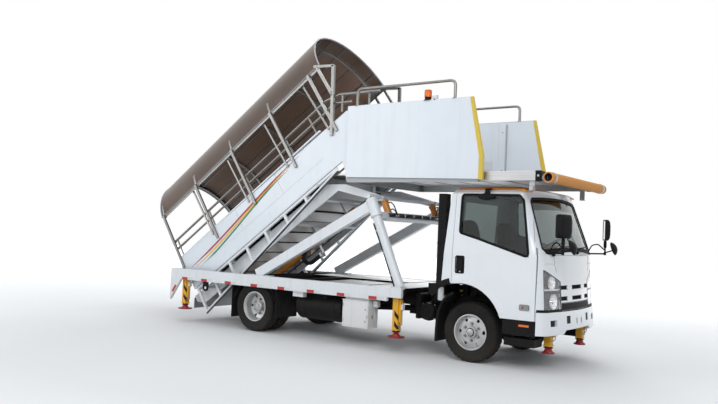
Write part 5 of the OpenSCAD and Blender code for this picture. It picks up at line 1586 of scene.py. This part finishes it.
def build_cab_sides():
    """Door rubbers, handles, side lamps, arch flares and sill markers."""
    for s, side in zip(SIDES, ("right", "left")):
        body = "door_" + side
        b = Build()
        line = resample(rounded([Vector((x, 0, z)) for x, z in WINDOW], 0.045, 5, True), 0.06, True)
        b.tube([(p.x, s * (side_y(p.z) + 0.0005), p.z) for p in line], 0.017, 8, 0, True, (0, s, 0.05), 0.006)
        # Handle in its black recess
        y = CAB_Y
        b.block((-0.215, s * (y - 0.0178), 1.181), (-0.097, s * (y - 0.012), 1.399), 0.003, 1)
        frame_line = rounded([(-0.220, s * y, 1.176), (-0.220, s * y, 1.404), (-0.092, s * y, 1.404),
                              (-0.092, s * y, 1.176)], 0.022, 5, True)
        b.tube(frame_line, 0.007, 8, 1, True, (0, s, 0), 0.003)
        b.block((-0.198, s * (y - 0.013), 1.215), (-0.114, s * (y + 0.002), 1.368), 0.012, 1)
        b.turn([(0.0, 0.0), (0.011, 0.0), (0.010, 0.003), (0, 0.004)], track((-0.156, s * (y - 0.011), 1.196),
                                                                          (0, s, 0)), 20, 2)
        # Side lamp with its amber bulb
        x0, x1, z0, z1 = 0.708, 0.848, 0.758, 0.838
        base = rounded([(x0, s * y, z0), (x1, s * y, z0), (x1, s * y, z1), (x0, s * y, z1)], 0.022, 5, True)
        b.slab(base, (0, s * 0.006, 0), 3)
        lens = rounded([(x0 + 0.008, s * (y + 0.0065), z0 + 0.008),
                        (x1 - 0.008, s * (y + 0.0065), z0 + 0.008),
                        (x1 - 0.008, s * (y + 0.0065), z1 - 0.008),
                        (x0 + 0.008, s * (y + 0.0065), z1 - 0.008)], 0.018, 5, True)
        b.slab(lens, (0, s * 0.010, 0), 4)
        b.turn([(0.0, 0.0), (0.019, 0.0), (0.017, 0.006), (0.0, 0.008)],
               track((x0 + 0.050, s * (y + 0.006), 0.799), (0, s, 0)), 20, 5)
        # Crease along the foot of the door
        arch_strip(b, 24, 99, ARCH[2] + 0.004, ARCH[2] + 0.092, s, 0.012, 0.0065, 6)
        piece("door_fittings_" + side, b, body, "cab_paint", "Rubber seal", "Black plastic", "Zinc steel",
              "Roof trim", "Lamp lens", "Amber lens", "Cab paint")
    b = Build()
    for s in SIDES:
        arch_strip(b, 105, 121, ARCH[2] + 0.004, ARCH[2] + 0.080, s, 0.012, 0.0065, 1, 8)
        # Sill marker
        b.block((0.700, s * 0.975, 0.552), (0.838, s * 0.9775, 0.580), 0.0015, 2)
        # Ribs on the sill and the step's tread
        for k in range(7):
            b.block((0.52 + k * 0.055, s * 0.735, 0.3995), (0.545 + k * 0.055, s * 0.935, 0.4035), 0.001, 1)
    # Air stack: louvres, elbow and straps
    for k in range(11):
        z = 1.92 + k * 0.026
        b.block((-0.562, -0.892, z), (-0.438, -0.902, z + 0.010), 0.002, 1)
        b.block((-0.562, -0.890, z), (-0.568, -0.790, z + 0.010), 0.002, 1)
    b.block((-0.566, -0.906, 2.225), (-0.434, -0.774, 2.248), 0.010, 1)
    for z in (1.12, 1.55, 1.86):
        b.block((-0.5635, -0.9035, z), (-0.4365, -0.7765, z + 0.022), 0.003, 1)
    piece("cab_side_fittings", b, "truck", "cab_paint", "Cab paint", "Black plastic", "Amber reflector")
    b = Build()
    # Washer bottle behind the wheel arch
    b.turn([(0.0, 0.0), (0.055, 0.0), (0.060, 0.02), (0.060, 0.17), (0.040, 0.20), (0.020, 0.205),
            (0.020, 0.225), (0.0, 0.226)], Matrix.Translation((-0.500, -0.82, 0.775)), 24, 0)
    b.block((-0.570, -0.86, 0.80), (-0.43, -0.76, 0.812), 0.002, 1)
    b.block((-0.57, -0.79, 0.772), (-0.43, -0.43, 0.782), 0.002, 1)
    b.block((-0.57, -0.45, 0.772), (-0.43, -0.43, 0.852), 0.002, 1)
    piece("washer_bottle", b, "truck", "black_plastic", "White reflector", "Black plastic")


def build_roof():
    """Rounded roof cap with a visor lip over the windscreen."""
    b = Build()
    n = 24
    half = 0.900
    prof = [(-0.300, 2.300), (-0.285, 2.322), (-0.240, 2.344), (-0.150, 2.352), (0.30, 2.356), (0.60, 2.350),
            (0.700, 2.330), (0.735, 2.300), (0.738, 2.278), (0.722, 2.276), (0.690, 2.290), (0.60, 2.3085),
            (-0.20, 2.3085)]
    rings = []
    for i in range(n + 1):
        t = -1 + 2 * i / n
        drop = 0.040 * max(0.0, (abs(t) - 0.86) / 0.14) ** 2
        rings.append([(x - (0.025 * t * t if x > 0.5 else 0.0), t * half,
                       max(z - drop, 2.3087) if z > 2.309 else z) for x, z in prof])
    b.loft(rings)
    # Marker fitting over each door
    for s in SIDES:
        b.block((0.145, s * 0.880, 2.300), (0.235, s * 0.925, 2.318), 0.004, 1)
        b.prism([(0.165, 2.306), (0.215, 2.306), (0.235, 2.235), (0.145, 2.235)], s * 0.930, s * 0.944, 1)
        b.block((0.165, s * 0.920, 2.296), (0.215, s * 0.944, 2.310), 0.003, 1)
        b.turn([(0.0, -0.010), (0.10, -0.010), (0.118, 0.0), (0.10, 0.012), (0.0, 0.014)],
               Matrix.Translation((0.170, s * 0.944, 2.208))
               @ Matrix.Rotation(-s * PI / 2, 4, "X") @ Matrix.Diagonal((1, 0.38, 1, 1)), 30, 1)
    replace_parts(piece("roof_visor", b, "truck", "orange_paint", "Orange paint", "Black plastic", sharp=40),
                "roof_cap")


def spow(v, p):
    """Power that keeps the sign."""
    return math.copysign(abs(v) ** p, v)


def pillow(b, at, size, mat, power=3.2, seams=()):
    """Rounded cushion form: a superellipsoid with sewn channels across it."""
    nu, nv = 28, 18
    rings = []
    e = 2 / power
    for i in range(nv + 1):
        phi = -PI / 2 + PI * i / nv
        rings.append([])
        for j in range(nu):
            th = 2 * PI * j / nu
            x = spow(math.cos(phi), e) * spow(math.cos(th), e) * size[0] / 2
            y = spow(math.cos(phi), e) * spow(math.sin(th), e) * size[1] / 2
            z = spow(math.sin(phi), e) * size[2] / 2
            for c in seams:
                if abs(z) > size[2] * 0.2:
                    z -= math.copysign(0.010, z) * math.exp(-((y - c) / 0.016) ** 2)
            rings[-1].append(at @ Vector((x, y, z)))
    b.loft(rings, mat)


def build_cab_inside():
    """Seats, dashboard, engine cover and steering wheel."""
    b = Build()
    for s in SIDES:
        b.block((0.880, s * 0.410, 0.690), (0.900, s * 0.850, 1.240), 0.004)
        b.block((-0.19, s * 0.34, 1.0873), (0.27, s * 0.83, 1.170), 0.012)
    b.block((-0.19, -0.27, 1.0873), (0.25, 0.27, 1.170), 0.012)
    tx, ty, tz = 0.1003, 0.4297, 1.0597
    cover = [(tx, 0.682), (tx, tz), (1.0, tz), (1.0, tz - 0.02), (tx + 0.02, tz - 0.02), (tx + 0.02, 0.682)]
    b.prism(cover, -ty + 0.02, ty - 0.02)
    for s in SIDES:
        b.prism([(tx, 0.682), (tx, tz), (1.0, tz), (1.0, 0.682)], s * ty, s * (ty - 0.02))
    b.block((0.880, -0.429, 1.050), (0.900, 0.429, 1.240), 0.003)
    # Dashboard with its hood and vents
    n = 22
    prof = [(0.715, 1.190), (0.705, 1.300), (0.740, 1.390), (0.800, 1.440), (0.880, 1.455)]
    rings = []
    for i in range(n + 1):
        y = -0.845 + 1.69 * i / n
        hood = 0.030 * math.exp(-((y - 0.48) / 0.22) ** 4)
        front = front_point(y, 1.40, 0.052).x
        rings.append([(x, y, z + (hood if z > 1.38 else 0)) for x, z in prof]
                     + [(min(front, 0.965), y, 1.462), (min(front + 0.01, 0.985), y, 1.200)])
    b.loft(rings)
    for y in (-0.62, -0.12, 0.12, 0.74):
        b.block((0.700, y - 0.06, 1.300), (0.712, y + 0.06, 1.350), 0.003)
    # Steering column and wheel
    hub = Vector((0.550, 0.480, 1.575))
    b.tube([(0.76, 0.48, 1.25), hub], 0.024, 14)
    at = Matrix.Translation(hub) @ Matrix.Rotation(-math.radians(35), 4, "Y")
    b.tube([at @ Vector((0.205 * math.cos(w), 0.205 * math.sin(w), 0)) for w in
            [2 * PI * k / 48 for k in range(48)]], 0.0145, 10, 0, True)
    b.turn([(0.0, -0.035), (0.040, -0.032), (0.052, -0.004), (0.048, 0.006), (0.0, 0.012)], at, 28)
    for k in range(3):
        w = PI / 2 + k * 2 * PI / 3
        b.tube([at @ Vector((0.045 * math.cos(w), 0.045 * math.sin(w), -0.004)),
                at @ Vector((0.20 * math.cos(w), 0.20 * math.sin(w), 0.0))], 0.010, 8)
    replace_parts(piece("dashboard_and_covers", b, "truck", "interior", "Cab plastic"), "cab_interior")
    lean = Matrix.Rotation(-math.radians(9), 4, "Y")
    for name, y, w in (("left", 0.585, 0.50), ("middle", 0.0, 0.53), ("right", -0.585, 0.50)):
        b = Build()
        pillow(b, Matrix.Translation((0.040, y, 1.245)), (0.475, w, 0.165), 0, 3.4, (-w * 0.2, w * 0.2))
        if name != "middle":
            back = Matrix.Translation((-0.160, y, 1.330)) @ lean @ Matrix.Translation((0.0, 0.0, 0.290)) \
                @ Matrix.Rotation(PI / 2, 4, "Y")
            pillow(b, back, (0.570, w - 0.04, 0.125), 0, 3.4, (-w * 0.2, w * 0.2))
        seat = piece("seat_" + name, b, "truck", "interior", "Seat cloth", sharp=60)


def build_mirrors():
    """Shells, glasses, arms and joints of the mirrors."""
    b = Build()
    for s in SIDES:
        at = Matrix.Translation((1.205, s * 0.850, 1.843)) @ Matrix.Rotation(s * math.radians(25), 4, "Z") \
            @ Matrix.Rotation(PI / 2, 4, "Y")
        # Domed shell in front of the flat head, and the glass behind it
        rows = [(1.0, 0.010), (0.985, 0.026), (0.93, 0.040), (0.80, 0.052), (0.55, 0.060), (0.25, 0.063)]
        b.loft([[at @ Vector((spow(math.cos(w), 0.5) * 0.152 * k, spow(math.sin(w), 0.5) * 0.117 * k, h))
                 for w in (2 * PI * i / 40 for i in range(40))] for k, h in rows])
        corners = ((-0.132, -0.097), (0.132, -0.097), (0.132, 0.097), (-0.132, 0.097))
        glass = rounded([at @ Vector((p, q, -0.0175)) for p, q in corners], 0.03, 5, True)
        b.slab(glass, at.to_3x3() @ Vector((0, 0, 0.003)), 1)
        b.turn([(0.020, -0.03), (0.022, 0.0), (0.022, 0.06), (0.015, 0.07)],
               Matrix.Translation((1.205, s * 0.85, 1.62)), 20, 0)
        # Base bracket and stay loop on the front corner
        b.block((0.955, s * 0.700, 1.482), (1.020, s * 0.800, 1.508), 0.006, 0)
        loop = [(0.990, s * 0.735, 1.505), (1.045, s * 0.760, 1.620), (1.120, s * 0.800, 1.640),
                (1.198, s * 0.845, 1.560)]
        b.tube(rounded(loop, 0.06, 6), 0.009, 10, 0)
        b.turn([(0.018, -0.02), (0.018, 0.02)], Matrix.Translation((1.205, s * 0.85, 1.505)), 16, 0)
    piece("mirror_shells", b, "truck", "black_plastic", "Black plastic", "Reflector chrome")


# Operators

def colour(name, description, default):
    """A colour that the panel shows."""
    return bpy.props.FloatVectorProperty(name=name, description=description, default=default, size=3,
                                         subtype="COLOR", min=0.0, max=1.0)


class StairsSettings(bpy.types.PropertyGroup):
    """Sizes and levels that a user may change."""
    stripe_width: bpy.props.FloatProperty(
        name="Stripe Width", description="Width of the colour bands on the side panels", default=0.034,
        min=0.005, max=0.08, unit="LENGTH")
    reflector_length: bpy.props.FloatProperty(
        name="Reflector Length", description="Length of the red deck reflectors", default=0.140,
        min=0.05, max=0.3, unit="LENGTH")
    rail_radius: bpy.props.FloatProperty(
        name="Rail Radius", description="Radius of the flight handrails", default=0.021, min=0.012, max=0.03,
        unit="LENGTH")
    bumper_radius: bpy.props.FloatProperty(
        name="Bumper Radius", description="Radius of the boarding bumper", default=0.068, min=0.05, max=0.075,
        unit="LENGTH")
    # Panel, frame and cab colours are white paint set to a cool blue-grey: painted shade lit by the sky
    panel_color: colour("Panel Color", "Paint of the side panels", (0.69, 0.735, 0.785))
    frame_color: colour("Frame Color", "Paint of the legs, trusses and deck rails", (0.70, 0.725, 0.75))
    cab_color: colour("Cab Color", "Paint of the cab and bumper", (0.72, 0.745, 0.77))
    accent_color: colour("Accent Color", "Paint of the roof cap and cylinders", (0.62, 0.225, 0.022))
    jack_color: colour("Jack Color", "Paint of the jack barrels", (0.74, 0.37, 0.014))
    foot_color: colour("Foot Color", "Paint of the jack feet", (0.30, 0.018, 0.022))
    first_stripe: colour("Upper Stripe", "Upper band of the side panels", (0.38, 0.02, 0.045))
    second_stripe: colour("Middle Stripe", "Middle band of the side panels", (0.75, 0.42, 0.05))
    third_stripe: colour("Lower Stripe", "Lower band of the side panels", (0.030, 0.20, 0.11))
    backdrop_color: colour("Backdrop Color", "Colour behind the machine", (1.0, 1.0, 1.0))


# Camera of the photograph: place from the front axle, yaw, pitch and roll in degrees, focal length
CAMERA_AT = (4.492, -9.872, 1.651)
CAMERA_TURN = (35.559, 2.42, 2.418)
FOCAL_PIXELS = 738.912
PHOTO_WIDTH = 718.0
SENSOR = 36.0


def build_stage(scene, settings):
    """Camera of the photograph, pale floor and soft lamps."""
    cam_data = bpy.data.cameras.new("camera")
    cam = bpy.data.objects.new("camera", cam_data)
    scene.collection.objects.link(cam)
    yaw, pitch, roll = (math.radians(v) for v in CAMERA_TURN)
    forward = Vector((-math.sin(yaw) * math.cos(pitch), math.cos(yaw) * math.cos(pitch), math.sin(pitch)))
    right = Vector((math.cos(yaw), math.sin(yaw), 0))
    up = right.cross(forward)
    r2 = right * math.cos(roll) + up * math.sin(roll)
    u2 = up * math.cos(roll) - right * math.sin(roll)
    turn = Matrix((r2, u2, -forward)).transposed().to_4x4()
    cam.matrix_world = Matrix.Translation(Vector(CAMERA_AT) + AXLE) @ turn
    cam_data.sensor_width = SENSOR
    cam_data.lens = SENSOR * FOCAL_PIXELS / PHOTO_WIDTH
    cam_data.clip_end = 200.0
    scene.camera = cam
    scene.view_settings.view_transform = "Standard"

    b = Build()
    b.block((-40, -30, -0.10), (40, 40, 0.0), 0.001)
    floor = bpy.data.meshes.new("floor")
    floor.from_pydata(b.verts, [], b.faces)
    floor.materials.append(finish("Stage floor"))
    obj = bpy.data.objects.new("floor", floor)
    scene.collection.objects.link(obj)

    world = bpy.data.worlds.new("studio")
    scene.world = world
    world.use_nodes = True
    world.node_tree.nodes.clear()
    n = Nodes(world.node_tree)
    seen = seen_directly(n)
    light = n.make("ShaderNodeBackground", {"Color": (0.86, 0.93, 1.0, 1), "Strength": 0.55})
    view = n.make("ShaderNodeBackground", {"Color": rgba(settings.backdrop_color), "Strength": 1.0})
    both = n.make("ShaderNodeMixShader", {0: seen, 1: light.outputs[0], 2: view.outputs[0]})
    out = n.make("ShaderNodeOutputWorld")
    world.node_tree.links.new(both.outputs[0], out.inputs[0])

    for name, place, aim, size, power in (
            ("key", (9.5, -13.0, 9.0), (0.5, 0.0, 1.4), 7.0, 900.0),
            ("fill", (-9.0, -12.0, 6.0), (-2.0, 0.0, 1.6), 8.0, 420.0),
            ("back", (-4.0, 12.0, 10.0), (0.0, 0.0, 2.0), 8.0, 900.0),
            ("top", (0.0, 0.0, 13.0), (0.0, 0.0, 0.0), 9.0, 500.0)):
        data = bpy.data.lights.new(name, "AREA")
        data.energy = power
        data.size = size
        lamp = bpy.data.objects.new(name, data)
        scene.collection.objects.link(lamp)
        lamp.location = place
        lamp.rotation_euler = (Vector(aim) - Vector(place)).to_track_quat("-Z", "Y").to_euler()


def build_finishes():
    """Gives every CAD node its finish."""
    for name, nodes in NODE_FINISH.items():
        for node in nodes:
            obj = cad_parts[node]
            if not obj.material_slots:
                obj.data.materials.append(None)
            for slot in obj.material_slots:
                slot.material = finish(name)
    left = set(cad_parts) - {n for group_nodes in NODE_FINISH.values() for n in group_nodes}
    if left:
        raise RuntimeError("no finish for " + ", ".join(sorted(left)))


class STAIRS_OT_stage(bpy.types.Operator):
    """Camera of the photograph, pale floor and soft lamps."""
    bl_idname = "stairs.stage"
    bl_label = "Stage and Camera"

    def execute(self, context):
        build_stage(context.scene, context.scene.boarding_stairs)
        return {"FINISHED"}


class STAIRS_OT_finishes(bpy.types.Operator):
    """Gives every CAD node its finish."""
    bl_idname = "stairs.finishes"
    bl_label = "Frame Finishes"

    def execute(self, context):
        build_finishes()
        return {"FINISHED"}


class STAIRS_OT_wheels(bpy.types.Operator):
    """Tyres in place of the plain rings, with nuts, hub caps and valves on the rims."""
    bl_idname = "stairs.wheels"
    bl_label = "Wheels and Tyres"

    def execute(self, context):
        build_wheels()
        return {"FINISHED"}


class STAIRS_OT_deck(bpy.types.Operator):
    """Marker reflectors, lips and deck plating."""
    bl_idname = "stairs.deck"
    bl_label = "Deck and Markers"

    def execute(self, context):
        build_deck(context.scene.boarding_stairs)
        return {"FINISHED"}


class STAIRS_OT_jacks(bpy.types.Operator):
    """Bands, valve blocks, collars and pad rims of the six stabilising jacks."""
    bl_idname = "stairs.jacks"
    bl_label = "Stabilising Jacks"

    def execute(self, context):
        build_jacks()
        return {"FINISHED"}


class STAIRS_OT_undercarriage(bpy.types.Operator):
    """Control cabinet door, tank straps, side lamp box, mud flaps and axle fittings."""
    bl_idname = "stairs.undercarriage"
    bl_label = "Undercarriage"

    def execute(self, context):
        build_undercarriage()
        return {"FINISHED"}


class STAIRS_OT_lift(bpy.types.Operator):
    """Collars, foot plates, glands and hydraulic lines of the leg frame."""
    bl_idname = "stairs.lift"
    bl_label = "Lifting Legs"

    def execute(self, context):
        build_lift()
        return {"FINISHED"}


class STAIRS_OT_stripes(bpy.types.Operator):
    """Three plain colour bands that rise along the upper side panels and part towards their ends."""
    bl_idname = "stairs.stripes"
    bl_label = "Panel Stripes"

    def execute(self, context):
        build_stripes(context.scene.boarding_stairs)
        return {"FINISHED"}


class STAIRS_OT_panels(bpy.types.Operator):
    """Trims, joints, rivets and end posts of the upper side panels."""
    bl_idname = "stairs.panels"
    bl_label = "Flight Side Panels"

    def execute(self, context):
        build_flight_panels()
        return {"FINISHED"}


class STAIRS_OT_handrails(bpy.types.Operator):
    """Bent stainless rails of the upper flight that run level over the platform hinge."""
    bl_idname = "stairs.handrails"
    bl_label = "Flight Handrails"

    def execute(self, context):
        build_handrails(context.scene.boarding_stairs)
        return {"FINISHED"}


class STAIRS_OT_canopy(bpy.types.Operator):
    """Roof bars, visors, struts and trims of the canopy."""
    bl_idname = "stairs.canopy"
    bl_label = "Canopy"

    def execute(self, context):
        build_canopy()
        return {"FINISHED"}


class STAIRS_OT_lower_flight(bpy.types.Operator):
    """Roller tracks, energy chain and cylinder fittings of the lower flight."""
    bl_idname = "stairs.lower_flight"
    bl_label = "Lower Flight"

    def execute(self, context):
        build_lower_flight()
        return {"FINISHED"}


class STAIRS_OT_treads(bpy.types.Operator):
    """Ribbed treads with dark anti-slip nosings on both flights."""
    bl_idname = "stairs.treads"
    bl_label = "Step Treads"

    def execute(self, context):
        build_step_nosings()
        return {"FINISHED"}


class STAIRS_OT_platform(bpy.types.Operator):
    """Edge strips, rails, beacon, floor frame and boarding edge of the platform."""
    bl_idname = "stairs.platform"
    bl_label = "Boarding Platform"

    def execute(self, context):
        build_platform(context.scene.boarding_stairs)
        return {"FINISHED"}


class STAIRS_OT_cab_front(bpy.types.Operator):
    """Windscreen rubber, shade band, wipers, grille, seams and bumper fittings."""
    bl_idname = "stairs.cab_front"
    bl_label = "Cab Front"

    def execute(self, context):
        build_cab_front()
        return {"FINISHED"}


class STAIRS_OT_lamps(bpy.types.Operator):
    """Head lamps: grey housing, chrome bowls, bulbs, divider and clear lens."""
    bl_idname = "stairs.lamps"
    bl_label = "Head Lamps"

    def execute(self, context):
        build_lamps()
        return {"FINISHED"}


class STAIRS_OT_cab_sides(bpy.types.Operator):
    """Door rubbers, handles, side lamps, arch flares and sill markers."""
    bl_idname = "stairs.cab_sides"
    bl_label = "Cab Sides"

    def execute(self, context):
        build_cab_sides()
        return {"FINISHED"}


class STAIRS_OT_roof(bpy.types.Operator):
    """Rounded roof cap with a visor lip over the windscreen."""
    bl_idname = "stairs.roof"
    bl_label = "Roof Visor"

    def execute(self, context):
        build_roof()
        return {"FINISHED"}


class STAIRS_OT_cab_inside(bpy.types.Operator):
    """Seats, dashboard, engine cover and steering wheel."""
    bl_idname = "stairs.cab_inside"
    bl_label = "Cab Interior"

    def execute(self, context):
        build_cab_inside()
        return {"FINISHED"}


class STAIRS_OT_mirrors(bpy.types.Operator):
    """Shells, glasses, arms and joints of the mirrors."""
    bl_idname = "stairs.mirrors"
    bl_label = "Mirrors"

    def execute(self, context):
        build_mirrors()
        return {"FINISHED"}


OPERATORS = (STAIRS_OT_stage, STAIRS_OT_finishes, STAIRS_OT_wheels, STAIRS_OT_deck, STAIRS_OT_jacks,
             STAIRS_OT_undercarriage, STAIRS_OT_lift, STAIRS_OT_stripes, STAIRS_OT_panels,
             STAIRS_OT_handrails, STAIRS_OT_canopy, STAIRS_OT_lower_flight, STAIRS_OT_treads,
             STAIRS_OT_platform, STAIRS_OT_cab_front, STAIRS_OT_lamps, STAIRS_OT_cab_sides, STAIRS_OT_roof,
             STAIRS_OT_cab_inside, STAIRS_OT_mirrors)


class STAIRS_PT_panel(bpy.types.Panel):
    """Lists the steps and settings of the boarding stairs."""
    bl_idname = "STAIRS_PT_panel"
    bl_label = "Boarding Stairs"
    bl_space_type = "VIEW_3D"
    bl_region_type = "UI"
    bl_category = "Boarding Stairs"

    def draw(self, context):
        settings = context.scene.boarding_stairs
        for key in settings.bl_rna.properties.keys():
            if key not in ("rna_type", "name"):
                self.layout.prop(settings, key)
        for operator in OPERATORS:
            self.layout.operator(operator.bl_idname)


CLASSES = [StairsSettings, *OPERATORS, STAIRS_PT_panel]


def register():
    for cls in CLASSES:
        bpy.utils.register_class(cls)
    bpy.types.Scene.boarding_stairs = bpy.props.PointerProperty(type=StairsSettings)


def unregister():
    del bpy.types.Scene.boarding_stairs
    for cls in reversed(CLASSES):
        bpy.utils.unregister_class(cls)


def main():
    register()
    make_groups()
    for operator in OPERATORS:
        category, key = operator.bl_idname.split(".")
        getattr(getattr(bpy.ops, category), key)()


if __name__ == "__main__":
    main()
